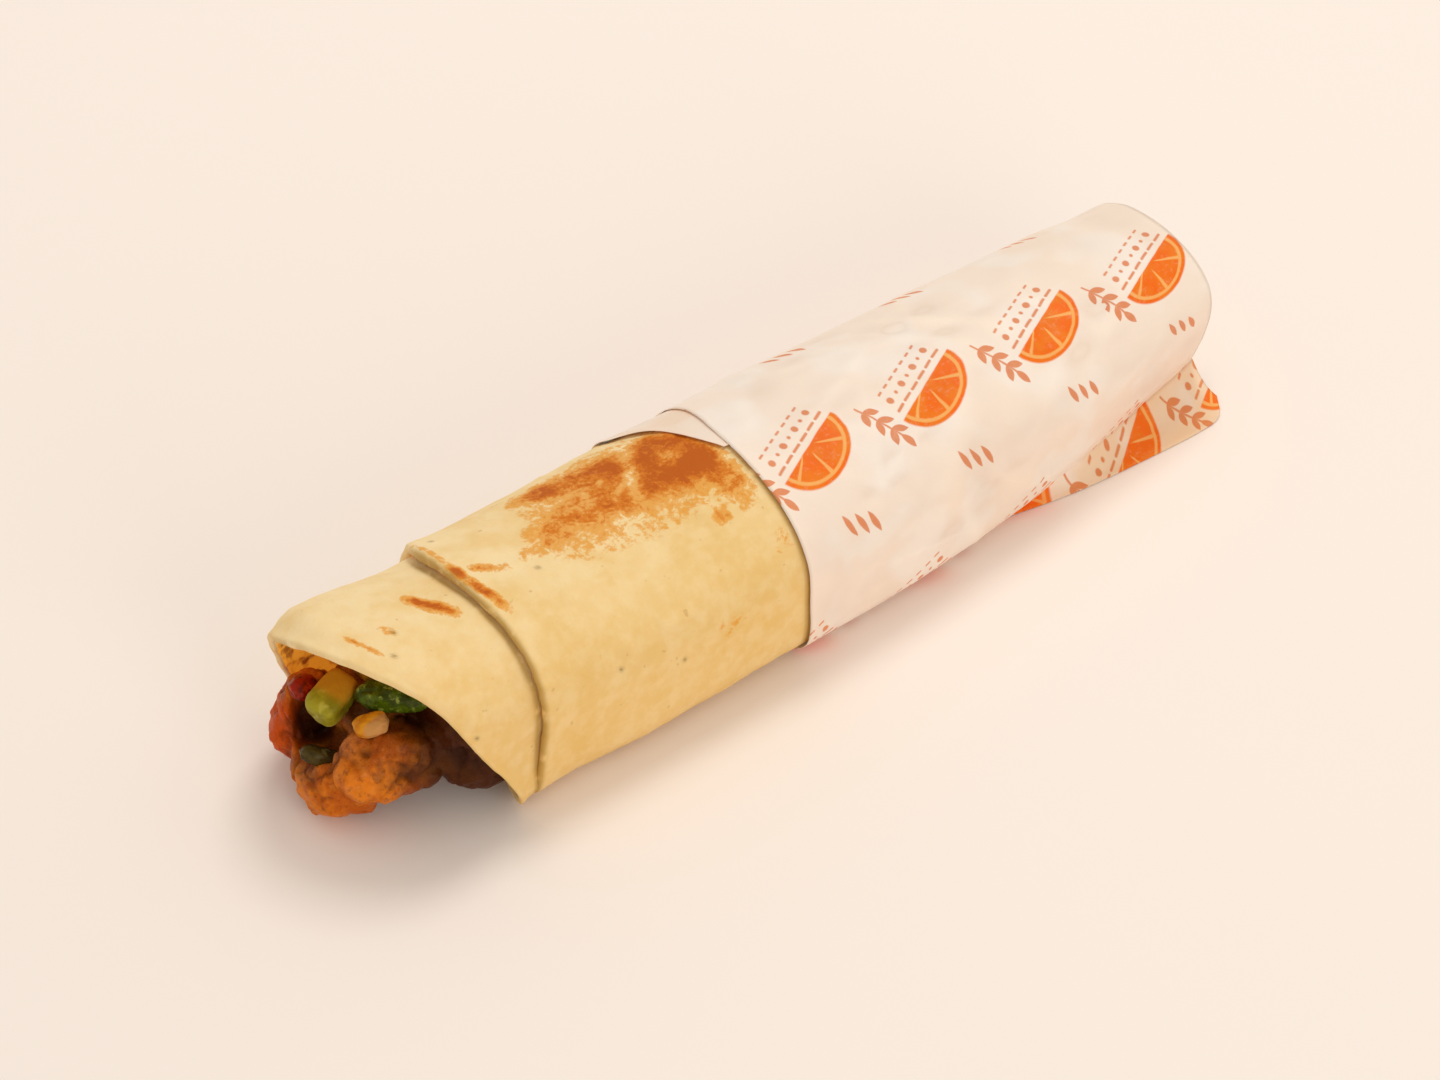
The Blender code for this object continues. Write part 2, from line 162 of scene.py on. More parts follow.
# Filling
FILLING_INSET = 5.6 * MM
FILLING_SHOULDER = -91.0 * MM
FILLING_NOSE = -105.0 * MM
FILLING_END = 97.0 * MM
FILLING_END_DEPTH = 10.0 * MM
CAP_POWER = 2.5
CAP_SHRINKS = (0.985, 0.93, 0.8, 0.55, 0.25)
MEAT_PIECES = (
    ((-111.4, -8.2, 16.1), (13.4, 8.8, 9.2), -8, 0.14),
    ((-115.6, 15.0, 15.2), (8.8, 8.2, 10.8), 0, 0.18),
    ((-118.4, 2.0, 9.2), (10.2, 11.4, 7.8), -12, 0.14),
    ((-104.9, 4.0, 17.4), (11.0, 13.5, 11.0), 0, 0.12),
)
MEAT_SQUARENESS = 2.3
MEAT_VOXEL = 0.62 * MM

# Deep places between the pieces of meat: centre, half size across and upward, depth. All run the same way in.
HOLLOWS = (((-119.8, 8.8, 20.8), 5.4, 7.4, 6.5), ((-104.5, -11.5, 27.5), 6.0, 3.6, 3.0))
HOLLOW_WAY = np.array((0.4736, 0.5726, -0.6691))
HOLLOW_RIGHT = np.array((0.7706, -0.6374, 0.0))
VEGETABLES = (
    ("lime_pickle", (-115.6, 6.3, 27.2), (6.2, 4.3, 3.5), (8, -12, 16), 4.0, 0.05),
    ("green_pepper", (-106.2, -4.1, 29.6), (8.4, 4.1, 3.8), (-6, 0, -42), 2.4, 0.14),
    ("yellow_pepper", (-114.6, -6.9, 27.7), (3.9, 2.7, 2.4), (0, -12, -36), 2.8, 0.10),
    ("yellow_strip", (-105.1, 6.5, 30.2), (3.0, 4.2, 2.8), (8, 0, 6), 2.8, 0.08),
    ("pepper_strip", (-122.2, 1.8, 16.1), (5.4, 2.2, 2.0), (0, 24, -34), 2.8, 0.08),
    ("tomato_bit", (-117.9, 14.4, 25.8), (3.4, 3.0, 2.4), (0, 0, 20), 2.4, 0.10),
)
FIRST_VEGETABLE_SEED = 20
BUMPY_VEGETABLES = ("green_pepper", "tomato_bit")

# Looks of the vegetables: slot, three tones of the flesh, size of its patches, and tones of marked faces.
VEGETABLE_LOOKS = {
    "lime_pickle": (
        "pickle",
        (162, 150, 34),
        (190, 178, 70),
        (134, 124, 22),
        0.006,
        {"low_face": (196, 186, 84), "upper": (186, 132, 30)},
    ),
    "green_pepper": ("green_pepper", (76, 94, 8), (150, 162, 66), (48, 62, 6), 0.003, {}),
    "yellow_pepper": (
        "yellow_pepper",
        (222, 150, 26),
        (222, 162, 44),
        (196, 118, 18),
        0.004,
        {"near_face": (196, 138, 76)},
    ),
    "yellow_strip": ("yellow_pepper", (196, 138, 30), (214, 164, 60), (150, 98, 18), 0.004, {}),
    "pepper_strip": ("dark_pepper", (74, 60, 22), (112, 100, 56), (50, 38, 12), 0.004, {}),
    "tomato_bit": ("tomato", (150, 22, 6), (190, 50, 14), (96, 12, 4), 0.003, {}),
}

# Toasted marks on the bread: station, turn, half length along, half width round, slant, strength.
TOAST = (
    (-35, -0.076, 20, 6.5, 0, 0.44),
    (-23, -0.030, 14, 10.5, 12, 0.42),
    (-40, -0.082, 9, 4.0, 0, 0.55),
    (-50, -0.095, 6.0, 3.6, 0, 0.6),
    (-26, -0.062, 7, 3.6, 22, 0.5),
    (-21, -0.004, 10, 4.0, 3, 0.6),
    (-12, -0.010, 4, 7.0, 60, 0.6),
    (-15, -0.062, 7, 4.0, 38, 0.7),
    (-47, -0.010, 14, 3.2, 4, 0.56),
    (-60, 0.004, 8.0, 1.6, 0, 0.4),
    (-38, -0.036, 18, 4.0, 0, 0.26),
    (-36, 0.018, 27, 8.5, 0, 0.31),
    (-20.5, 0.085, 2.6, 1.8, 0, 0.55),
    (-12, 0.046, 3.8, 6.5, 0, 0.62),
    (-30, 0.220, 5.0, 4.0, 0, 0.18),
    (-11, 0.150, 4.0, 4.0, 0, 0.2),
    (-75, -0.001, 4.6, 1.3, 25, 0.62),
    (-28, -0.046, 9, 2.0, 122, -0.75),
)
TOAST_LIP = (
    (-82.7, -0.06, 0.9, 7.0, 0, 0.6),
    (-82.4, -0.012, 1.6, 2.0, 0, 1.1),
    (-81.0, 0.030, 1.5, 5.2, -12, 1.1),
)
TOAST_FRONT = (
    (-92.6, 0.005, 5.6, 1.75, 50, 1.35),
    (-114.2, 0.022, 4.2, 0.6, 65, 0.85),
    (-107.0, 0.018, 2.2, 1.5, 40, 0.3),
)

# Small dark spots on the bread: station, turn.
SPOTS = (
    (-110.3, 0.053),
    (-106.0, 0.024),
    (-101.0, 0.2),
    (-78.0, -0.095),
    (-61.5, 0.2),
    (-66.0, 0.03),
    (-44.0, 0.235),
)
SPOT_SIZE = 0.55

# Fineness of the meshes and of their relief
BREAD_COLUMNS = 320
EDGE_ROWS = 8
PAPER_COLUMNS = 288
SLEEVE_ROWS = 118
SLEEVE_INNER_ROWS = 12
CORE_COLUMNS = 48
RELIEF_RADIUS = 28.0 * MM
RELIEF_END = -12.0 * MM
FOLDS = 64
FOLD_SEED = 5
SMALL_LUMPS = 40
LUMP_SEED = 12

# Print on the paper, in millimetres and degrees
MOTIF_PITCH = 36.0
MOTIF_START = 8.0
ROW_PITCH = 50.0
ROW_START = 12.0
FRUIT_LENGTH = 12.5
FRUIT_DEPTH = 9.0
FRUIT_DROP = -3.0
FRUIT_SLANT = -24
SPRIG_SLANT = 64
SPRIG_STEPS = (-4.2, -0.6, 3.0)
LEAF_OPENING = 42
LEAF_HALF = 2.1

# Painted glow: light emitted from the stained inner face, standing in for light that comes through the thin
# dough onto it
INNER_GLOW = (0.31, 0.125, 0.006)

# Studio
FLOOR_SIZE = 6.0
SKY_COLOUR = (1.0, 0.963, 0.905, 1.0)
SKY_STRENGTH = 0.67
LIGHTS = (
    ("key_light", (0.55, 0.4, 1.5), 0.6, 8.5),
    ("fill_light", (-0.2, -1.5, 0.55), 0.9, 5.8),
)
CAMERA_PLACE = (-0.71272, -0.85184, 1.01276)
CAMERA_RIGHT = (0.7706, -0.6374, 0.0)
CAMERA_UP = (0.4265, 0.5156, 0.7431)
CAMERA_LENS = 160.0
CAMERA_SENSOR = 36.0


def smooth(knots, place):
    """Values at places on the smooth curve through (place, value) knots, held level beyond its ends."""
    places, values = np.array(knots, float).T
    place = np.clip(place, places[0], places[-1])
    last = len(places) - 1
    after = np.clip(np.searchsorted(places, place, side="right"), 1, last)
    ring = [np.clip(after + step, 0, last) for step in (-2, -1, 0, 1)]
    span = places[ring[2]] - places[ring[1]]
    share = (place - places[ring[1]]) / span
    slope_in = (values[ring[2]] - values[ring[0]]) / (places[ring[2]] - places[ring[0]]) * span
    slope_out = (values[ring[3]] - values[ring[1]]) / (places[ring[3]] - places[ring[1]]) * span
    square = share * share
    cube = square * share
    start = (2 * cube - 3 * square + 1) * values[ring[1]] + (cube - 2 * square + share) * slope_in
    return start + (3 * square - 2 * cube) * values[ring[2]] + (cube - square) * slope_out


def around(knots, turn):
    """Values on the smooth closed curve through (turn, value) knots."""
    closed = [(knot[0] + lap, knot[1]) for lap in (-1, 0, 1) for knot in knots]
    return smooth(closed, (turn + 0.5) % 1.0 - 0.5)


def ease(start, end, place):
    """0 before start, 1 after end, and a soft rise between them."""
    share = np.clip((place - start) / (end - start), 0.0, 1.0)
    return share * share * (3 - 2 * share)


def hump(place, centre, spread):
    """Soft bump of height 1 at its centre."""
    return np.exp(-(((place - centre) / spread) ** 2))


def cloud(points, size, seed=0, octaves=3):
    """Cloudy values between about -1 and 1 at points."""
    points = np.asarray(points, float)
    total = np.zeros(points.shape[:-1])
    weight_sum = 0.0
    for octave in range(octaves):
        spot = points / size * 2**octave + 17.13 * seed + 5.71 * octave
        cell = np.floor(spot).astype(np.int64)
        part = spot - cell
        part = part * part * (3 - 2 * part)
        value = np.zeros(points.shape[:-1])
        for corner in itertools.product((0, 1), repeat=3):
            weight = np.prod(np.where(corner, part, 1 - part), axis=-1)
            number = (cell + corner) @ np.array([374761393, 668265263, 1442695041])
            number = (number ^ (number >> 13)) * 1274126177
            number = (number ^ (number >> 16)) & 0xFFFF
            value += weight * (number / 32767.5 - 1)
        total += value * 0.5**octave
        weight_sum += 0.5**octave
    return total / weight_sum * 1.6


def section_size(station):
    """Half width, height, sideways shift and foot lean of the bread at stations."""
    columns = range(1, len(SECTIONS[0]))
    return [smooth([(row[0], row[column]) for row in SECTIONS], station / MM) * MM for column in columns]


def outline_at_angle(angle, half_width, height):
    """Points of the rounded section in the direction of an angle: 0 is up, +90 degrees the near side."""
    side = -np.sin(angle)
    up = np.cos(angle)
    roundness = np.where(up >= 0, TOP_ROUNDNESS, FOOT_ROUNDNESS)
    half_height = (height + FLAT_DEPTH) / 2
    reach = (abs(side) / half_width) ** roundness + (abs(up) / half_height) ** roundness
    radius = reach ** (-1 / roundness)
    return side * radius, up * radius + half_height - FLAT_DEPTH


def angles_of_turns():
    """Angles and turns along one section, so that equal turns are equal lengths of its outline."""
    half_width, height = section_size(np.array(0.0))[:2]
    angles = np.linspace(-math.pi, math.pi, 721)
    steps = np.hypot(*np.diff(outline_at_angle(angles, half_width, height)))
    lengths = np.concatenate([[0.0], np.cumsum(steps)])
    return angles, lengths / lengths[-1] - 0.5


ANGLES, TURNS = angles_of_turns()


def swelling(station, turn):
    """How far the hand-rolled bread stands out from its even section."""
    half_width = section_size(station)[0]
    angle = turn * math.tau
    spots = np.stack([station, half_width * np.sin(angle), half_width * np.cos(angle)], axis=-1) / UNEVEN_SIZE
    values = [noise.noise(Vector(spot)) for spot in spots.reshape(-1, 3)]
    out = UNEVENNESS * np.array(values).reshape(station.shape)
    for centre, centre_turn, radius, depth in DENTS:
        along = station / MM - centre
        round_it = (turn - centre_turn) * math.tau * half_width / MM
        out -= depth * MM * np.exp(-(along * along + round_it * round_it) / (radius * radius))
    return out * (1 - ease(*FLAT_TURNS, abs(turn)))


def wrap_points(station, turn, inset=0.0):
    """Points on the wrap at stations and turns, inset from the outer face of the bread."""
    station, turn, inset = np.broadcast_arrays(station, turn, inset)
    half_width, height, shift, lean = section_size(station)
    angle = np.interp(turn, TURNS, ANGLES)
    before = np.array(outline_at_angle(angle - TANGENT_ANGLE, half_width, height))
    after = np.array(outline_at_angle(angle + TANGENT_ANGLE, half_width, height))
    run = (after - before) / np.hypot(*(after - before))
    side, up = outline_at_angle(angle, half_width, height)
    inward = inset - swelling(station, turn)
    y = side - run[1] * inward
    z = up + run[0] * inward
    raised = RAISED_AT_FRONT + (RAISED_BY_PAPER - RAISED_AT_FRONT) * ease(*RAISE_STATIONS, station)
    z = np.maximum(z, inset) + raised
    near = np.maximum(-y / half_width, 0.0)
    y = y + shift + lean * near * np.maximum(0.0, 1 - z / LEAN_HEIGHT)
    return np.stack([station, y, z], axis=-1)


def inner_turn_inset(station, turn):
    """Depth of the inner turn's outer face, which spreads out at the open end. Its rim rolls in and curls."""
    past_rim = np.maximum(station - around(RIM, turn) * MM, 0.0)
    inset = FLARE_INSET + (BREAD_THICKNESS - FLARE_INSET) * ease(*FLARE_STATIONS, station)
    inset = inset + RIM_ROLL * (1 - ease(0.0, RIM_ROLL_LENGTH, past_rim))
    curl = RIM_CURL * hump(turn, RIM_CURL_TURN, RIM_CURL_SPREAD)
    inset += curl * (1 - ease(0.0, RIM_CURL_LENGTH, past_rim))
    flare = CORNER_FLARE * hump(turn, CORNER_FLARE_TURN, CORNER_FLARE_SPREAD)
    return inset - flare * np.exp(-past_rim / CORNER_FLARE_LENGTH)


def lip_swell(station, turn):
    """How much thicker the outer turn is at its front edge, where it curls down onto the inner turn."""
    past_lip = station - around(LIP, turn) * MM
    lifted = LIP_LIFT * hump(turn, LIP_LIFT_TURN, LIP_LIFT_SPREAD)
    return lifted * np.exp(-np.maximum(past_lip, 0.0) / LIP_LIFT_LENGTH)


def no_swell(station, turn):
    """An even thickness."""
    return 0.0 * station


def outer_turn_inset(station, turn):
    """Depth of the outer turn's outer face: its front edge stands off the inner turn."""
    past_lip = station - around(LIP, turn) * MM
    fade = np.exp(-np.maximum(past_lip, 0.0) / LIP_LIFT_LENGTH)
    lifted = LIP_LIFT * hump(turn, LIP_LIFT_TURN, LIP_LIFT_SPREAD)
    return -(LIP_LOOSE + lifted) * fade


def to_mesh(name, points, faces, attributes=None, uvs=None, finish=None):
    """Object from vertex places and faces, with values for each vertex and a map for each face corner."""
    mesh = bpy.data.meshes.new(name)
    mesh.from_pydata(points.tolist(), [], faces.tolist() if isinstance(faces, np.ndarray) else faces)
    for key, values in (attributes or {}).items():
        layer = mesh.attributes.new(key, "FLOAT", "POINT")
        layer.data.foreach_set("value", np.asarray(values, np.float32).ravel())
    if uvs is not None:
        layer = mesh.uv_layers.new(name="place")
        layer.data.foreach_set("uv", np.asarray(uvs, np.float32).ravel())
    mesh.polygons.foreach_set("use_smooth", [True] * len(mesh.polygons))
    if finish:
        mesh.materials.append(finish)
    item = bpy.data.objects.new(name, mesh)
    bpy.context.scene.collection.objects.link(item)
    return item


def grid_faces(rows, columns, ring, closed_rows=False):
    """Quads of a grid of vertices, closed round its columns as a ring or not."""
    row = np.arange(rows if closed_rows else rows - 1)[:, None]
    column = np.arange(columns if ring else columns - 1)[None, :]
    following_row = (row + 1) % rows
    following = (column + 1) % columns
    corners = [row * columns + column, row * columns + following]
    corners += [following_row * columns + following, following_row * columns + column]
    return np.stack(corners, axis=-1).reshape(-1, 4)


def fan_faces(first, columns, tip, flip):
    """Triangles from one ring of the grid to a tip."""
    faces = [[first + index, first + (index + 1) % columns, tip] for index in range(columns)]
    return [face[::-1] for face in faces] if flip else faces


def ring_quads(first, second, columns):
    """Quads between two rings of vertices that start at these numbers."""
    sides = [(index, (index + 1) % columns) for index in range(columns)]
    return [[first + here, first + following, second + following, second + here] for here, following in sides]


def ring_turns(columns):
    """Turns of a full ring."""
    return np.arange(columns) / columns - 0.5


def cap_ring(columns, start, depth, shrink, inset):
    """One ring of a rounded end that starts at a station and closes over a depth."""
    station = start + depth * max(1 - shrink**CAP_POWER, 0.0) ** (1 / CAP_POWER)
    ring = wrap_points(np.full(columns, station), ring_turns(columns), inset)
    centre = ring.mean(axis=0)
    return centre + (ring - centre) * shrink


def closed_rings(rings):
    """Vertices and faces of rings in a row, closed by a fan at both ends."""
    count, columns = len(rings), len(rings[0])
    points = np.concatenate([*rings, [rings[0].mean(axis=0)], [rings[-1].mean(axis=0)]])
    faces = grid_faces(count, columns, True).tolist()
    faces += fan_faces(0, columns, count * columns, True)
    faces += fan_faces((count - 1) * columns, columns, count * columns + 1, False)
    return points, faces


def even_round(station, turn):
    """Places on an even tube, where cloudy values run on round the wrap without a seam."""
    round_it = turn * math.tau
    return np.stack([station, np.sin(round_it) * RELIEF_RADIUS, np.cos(round_it) * RELIEF_RADIUS], axis=-1)


def turned_outward(item):
    """The same object with its faces turned to look out."""
    form = bmesh.new()
    form.from_mesh(item.data)
    bmesh.ops.recalc_face_normals(form, faces=form.faces)
    form.to_mesh(item.data)
    form.free()
    return item


def place_of(piece, node):
    """Hangs a piece on the root body and hides the CAD part that it stands for."""
    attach(piece, "root")
    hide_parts(node)


def linear(red, green, blue):
    """Linear colour of a display colour given from 0 to 255."""
    shares = [part / 255 for part in (red, green, blue)]
    return tuple(part / 12.92 if part <= 0.04045 else ((part + 0.055) / 1.055) ** 2.4 for part in shares)


class Finish:
    """Node-based material with short calls for its nodes."""

    def __init__(self, name, **values):
        self.material = bpy.data.materials.new(name)
        self.material.use_nodes = True
        self.tree = self.material.node_tree
        self.shader = self.tree.nodes["Principled BSDF"]
        for key, value in values.items():
            self.shader.inputs[key.replace("_", " ")].default_value = value

    def node(self, kind, inputs, output=0, **settings):
        """One output of a new node, with values or links for its inputs."""
        made = self.tree.nodes.new(kind)
        for key, value in settings.items():
            setattr(made, key, value)
        for key, value in inputs.items():
            if isinstance(value, bpy.types.NodeSocket):
                self.tree.links.new(value, made.inputs[key])
            else:
                made.inputs[key].default_value = value
        return made.outputs[output]

    def math(self, operation, *values, clamp=False):
        return self.node("ShaderNodeMath", dict(enumerate(values)), operation=operation, use_clamp=clamp)

    def plus(self, first, second):
        return self.math("ADD", first, second)

    def minus(self, first, second):
        return self.math("SUBTRACT", first, second)

    def times(self, first, second):
        return self.math("MULTIPLY", first, second)

    def mix(self, share, first, second):
        def colour(value):
            return value if isinstance(value, bpy.types.NodeSocket) else (*value, 1.0)

        inputs = {0: share, 6: colour(first), 7: colour(second)}
        return self.node("ShaderNodeMix", inputs, 2, data_type="RGBA", clamp_factor=True)

    def tint(self, colour, mask, share, tone):
        """The colour, turned by a share towards a display tone where the mask is on."""
        return self.mix(self.times(mask, share), colour, linear(*tone))

    def attribute(self, name):
        return self.node("ShaderNodeAttribute", {}, 2, attribute_name=name)

    def noise(self, size, detail=3.0, roughness=0.55, distortion=0.0, stretch=(1.0, 1.0, 1.0), shift=0.0):
        """Cloudy values around 0.5, with blobs of about this size in metres."""
        scale = [1 / size / part for part in stretch]
        place = self.node("ShaderNodeTexCoord", {}, 3)
        spot = self.node("ShaderNodeMapping", {0: place, 1: (shift, shift, shift), 3: scale})
        inputs = {"Vector": spot, "Scale": 1.0, "Detail": detail, "Roughness": roughness}
        return self.node("ShaderNodeTexNoise", {**inputs, "Distortion": distortion})

    def ramp(self, value, low, high, to_low=0.0, to_high=1.0):
        """Soft step between two values. A low end above the high end turns the step round."""
        inputs = {0: value, 1: low, 2: high, 3: to_low, 4: to_high}
        return self.node("ShaderNodeMapRange", inputs, interpolation_type="SMOOTHSTEP")

    def bump(self, height, distance, strength):
        normal = self.node("ShaderNodeBump", {"Height": height, "Distance": distance, "Strength": strength})
        self.set(Normal=normal)

    def set(self, **sockets):
        for key, socket in sockets.items():
            self.tree.links.new(socket, self.shader.inputs[key.replace("_", " ")])


def bread_finish():
    """Soft baked flatbread with toasted patches, darker mottling and a stained inner face; painted shade on
    its near side, along the lip and at the paper's edge, and a painted glow on the stained inner face.
    """
    look = Finish(
        "soft_flatbread",
        Roughness=0.66,
        Subsurface_Weight=0.1,
        Subsurface_Scale=0.003,
        Subsurface_Radius=(1.0, 0.55, 0.25),
        Specular_IOR_Level=0.2,
        Specular_Tint=(1.0, 0.86, 0.6, 1.0),
        Emission_Strength=1.0,
    )
    # Painted shade: the dough on the near side is darker and more golden than on the top, where less light
    # falls.
    dough = look.mix(look.attribute("side"), linear(243, 214, 160), linear(231, 190, 117))
    dough = look.tint(dough, look.ramp(look.noise(0.016), 0.42, 0.66), 0.45, (228, 184, 104))
    dough = look.tint(dough, look.ramp(look.noise(0.0045, shift=3.1), 0.35, 0.7), 0.22, (252, 232, 190))

    toast = look.attribute("toast")
    mottle = look.minus(look.noise(0.0038, 5, 0.7, 0.6, shift=1.7), 0.5)
    grain = look.minus(look.noise(0.0011, 3, 0.65, shift=5.2), 0.5)
    level = look.plus(toast, look.times(mottle, 1.9))
    level = look.plus(level, look.times(grain, 0.9))
    level = look.times(level, look.ramp(toast, 0.02, 0.22))
    colour = look.tint(dough, look.ramp(level, 0.12, 0.42), 0.85, (228, 156, 58))
    colour = look.tint(colour, look.ramp(level, 0.50, 0.92), 0.95, (212, 118, 26))
    colour = look.tint(colour, look.ramp(level, 0.85, 1.25), 0.85, (184, 84, 14))

    colour = look.tint(colour, look.attribute("spot"), 0.75, (120, 92, 48))
    specks = look.ramp(look.noise(0.0022, 1, 0.5, shift=9.4), 0.74, 0.80)
    colour = look.tint(colour, specks, 0.3, (170, 126, 66))
    # Painted shade: olive-brown darkening in the groove along the lip, under the lip's curled nose and in the
    # thin shadow line along the paper's edge.
    broken = look.ramp(look.noise(0.004, 2, shift=1.1), 0.2, 0.5)
    colour = look.tint(colour, look.times(look.attribute("crease"), broken), 0.75, (178, 138, 60))

    stain = look.attribute("stain")
    patch = look.plus(stain, look.times(look.minus(look.noise(0.004), 0.5), 0.9))
    patch = look.times(look.ramp(patch, 0.25, 0.85), look.ramp(stain, 0.02, 0.2))
    colour = look.tint(colour, patch, 0.9, (250, 196, 84))
    deep = look.ramp(look.times(patch, look.noise(0.0028, shift=4.4)), 0.44, 0.68)
    colour = look.tint(colour, deep, 0.55, (168, 84, 12))
    # Painted glow: the paler stained patches of the inner face emit light, standing in for light that comes
    # through the thin dough.
    glow = look.math("SUBTRACT", patch, deep, clamp=True)
    look.set(Base_Color=colour, Emission_Color=look.mix(glow, (0.0, 0.0, 0.0), INNER_GLOW))
    height = look.plus(look.noise(0.0011, 4, 0.6), look.times(look.noise(0.004, 2, shift=2.0), 1.6))
    look.bump(height, 0.00022, 0.5)
    return look.material


def direction(slant):
    """Unit direction at a slant in degrees."""
    return math.cos(math.radians(slant)), math.sin(math.radians(slant))


def turned_axes(look, x, y, slant, centre=(0.0, 0.0)):
    """Places on the print along and across a slanted direction through a centre."""
    cos, sin = direction(slant)
    right = look.minus(x, centre[0])
    down = look.minus(y, centre[1])
    along = look.plus(look.times(right, cos), look.times(down, sin))
    return along, look.minus(look.times(down, cos), look.times(right, sin))


def distance_of(look, first, second):
    """Distance from the origin of two coordinates."""
    return look.math("SQRT", look.plus(look.times(first, first), look.times(second, second)))


def pill(look, x, y, centre, half, radius, slant=0):
    """Mask of a rounded stroke on the print: centre, half length and radius in millimetres."""
    along, aside = turned_axes(look, x, y, slant, centre)
    beyond = look.math("MAXIMUM", look.minus(look.math("ABSOLUTE", along), half), 0.0)
    return look.ramp(distance_of(look, beyond, aside), radius + 0.25, radius - 0.15)


def leaf(look, x, y, centre, half, wide, slant):
    """Mask of a pointed leaf on the print: centre, half length and half width in millimetres."""
    along, aside = turned_axes(look, x, y, slant, centre)
    share = look.math("DIVIDE", along, half)
    belly = look.times(look.minus(1.0, look.times(share, share)), wide)
    return look.ramp(look.minus(belly, look.math("ABSOLUTE", aside)), -0.12, 0.16)


def either(look, first, *others):
    """Mask that is on where any of the masks is."""
    for other in others:
        first = look.math("MAXIMUM", first, other)
    return first


def print_place(look):
    """Place from the middle of one motif of the print. Every second row is shifted by half a motif."""
    parts = look.node("ShaderNodeSeparateXYZ", {0: look.node("ShaderNodeUVMap", {}, uv_map="place")})
    u = look.times(parts, 1000.0)
    v = look.plus(look.times(parts.node.outputs[1], 1000.0), ROW_START)
    u = look.plus(u, look.times(look.minus(look.noise(0.004, 1, shift=6.0), 0.5), 0.7))
    row = look.math("FLOOR", look.math("DIVIDE", v, ROW_PITCH))
    y = look.minus(look.minus(v, look.times(row, ROW_PITCH)), ROW_PITCH / 2)
    shift = look.times(look.math("FLOORED_MODULO", row, 2.0), MOTIF_PITCH / 2)
    x = look.math("FLOORED_MODULO", look.plus(look.plus(u, MOTIF_START), shift), MOTIF_PITCH)
    return look.minus(x, MOTIF_PITCH / 2), y


def fruit_masks(look, x, y):
    """Masks of half a fruit, of its pale ribs and rind, and of the rows of strokes and dots beside it."""
    along, aside = turned_axes(look, x, y, FRUIT_SLANT)
    aside = look.minus(aside, FRUIT_DROP)
    wide = look.math("DIVIDE", along, FRUIT_LENGTH)
    deep = look.math("DIVIDE", aside, FRUIT_DEPTH)
    reach = distance_of(look, wide, deep)
    fruit = look.times(look.ramp(reach, 1.03, 0.97), look.ramp(aside, -0.2, 0.2))
    angle = look.math("ARCTAN2", look.plus(deep, 0.12), wide)
    wedge = look.math("ABSOLUTE", look.math("SINE", look.times(angle, 3.5)))
    ribs = look.times(look.ramp(wedge, 0.26, 0.08), look.ramp(reach, 0.12, 0.3))
    ribs = look.times(ribs, look.ramp(reach, 0.9, 0.8))
    rind = look.times(look.ramp(reach, 0.80, 0.84), look.ramp(reach, 0.92, 0.88))
    pale = look.times(either(look, ribs, rind), fruit)

    rows = []
    for step in range(6):
        rows.append(pill(look, along, aside, ((step - 2.5) * 3.9, -1.9), 1.25, 0.3))
    for step in range(7):
        rows.append(pill(look, along, aside, ((step - 3) * 3.1, -4.6), 0.0, 0.85 - 0.4 * (step % 2)))
        rows.append(pill(look, along, aside, ((step - 3) * 3.0, -7.4), 0.55, 0.24))
    return fruit, pale, rows


def sprig_masks(look, x, y):
    """Masks of a leafy sprig between two fruits and of three slanted leaves in the next row."""
    x_between = look.math("FLOORED_MODULO", look.plus(x, MOTIF_PITCH), MOTIF_PITCH)
    x_between = look.minus(x_between, MOTIF_PITCH / 2)
    run = direction(SPRIG_SLANT)
    masks = [pill(look, x_between, y, (0.0, 0.0), 6.0, 0.22, SPRIG_SLANT)]
    for step in SPRIG_STEPS:
        for side in (-1, 1):
            slant = SPRIG_SLANT + LEAF_OPENING * side
            out = direction(slant)
            centre = [step * part + LEAF_HALF * out_part for part, out_part in zip(run, out)]
            masks.append(leaf(look, x_between, y, centre, LEAF_HALF, 0.95, slant))
    masks.append(leaf(look, x_between, y, (7.6 * run[0], 7.6 * run[1]), 2.2, 1.0, SPRIG_SLANT))
    for step in range(3):
        masks.append(leaf(look, x, y, ((step - 1) * 3.4, 16.5 + 0.8 * step), 3.0, 0.8, 66))
    return masks


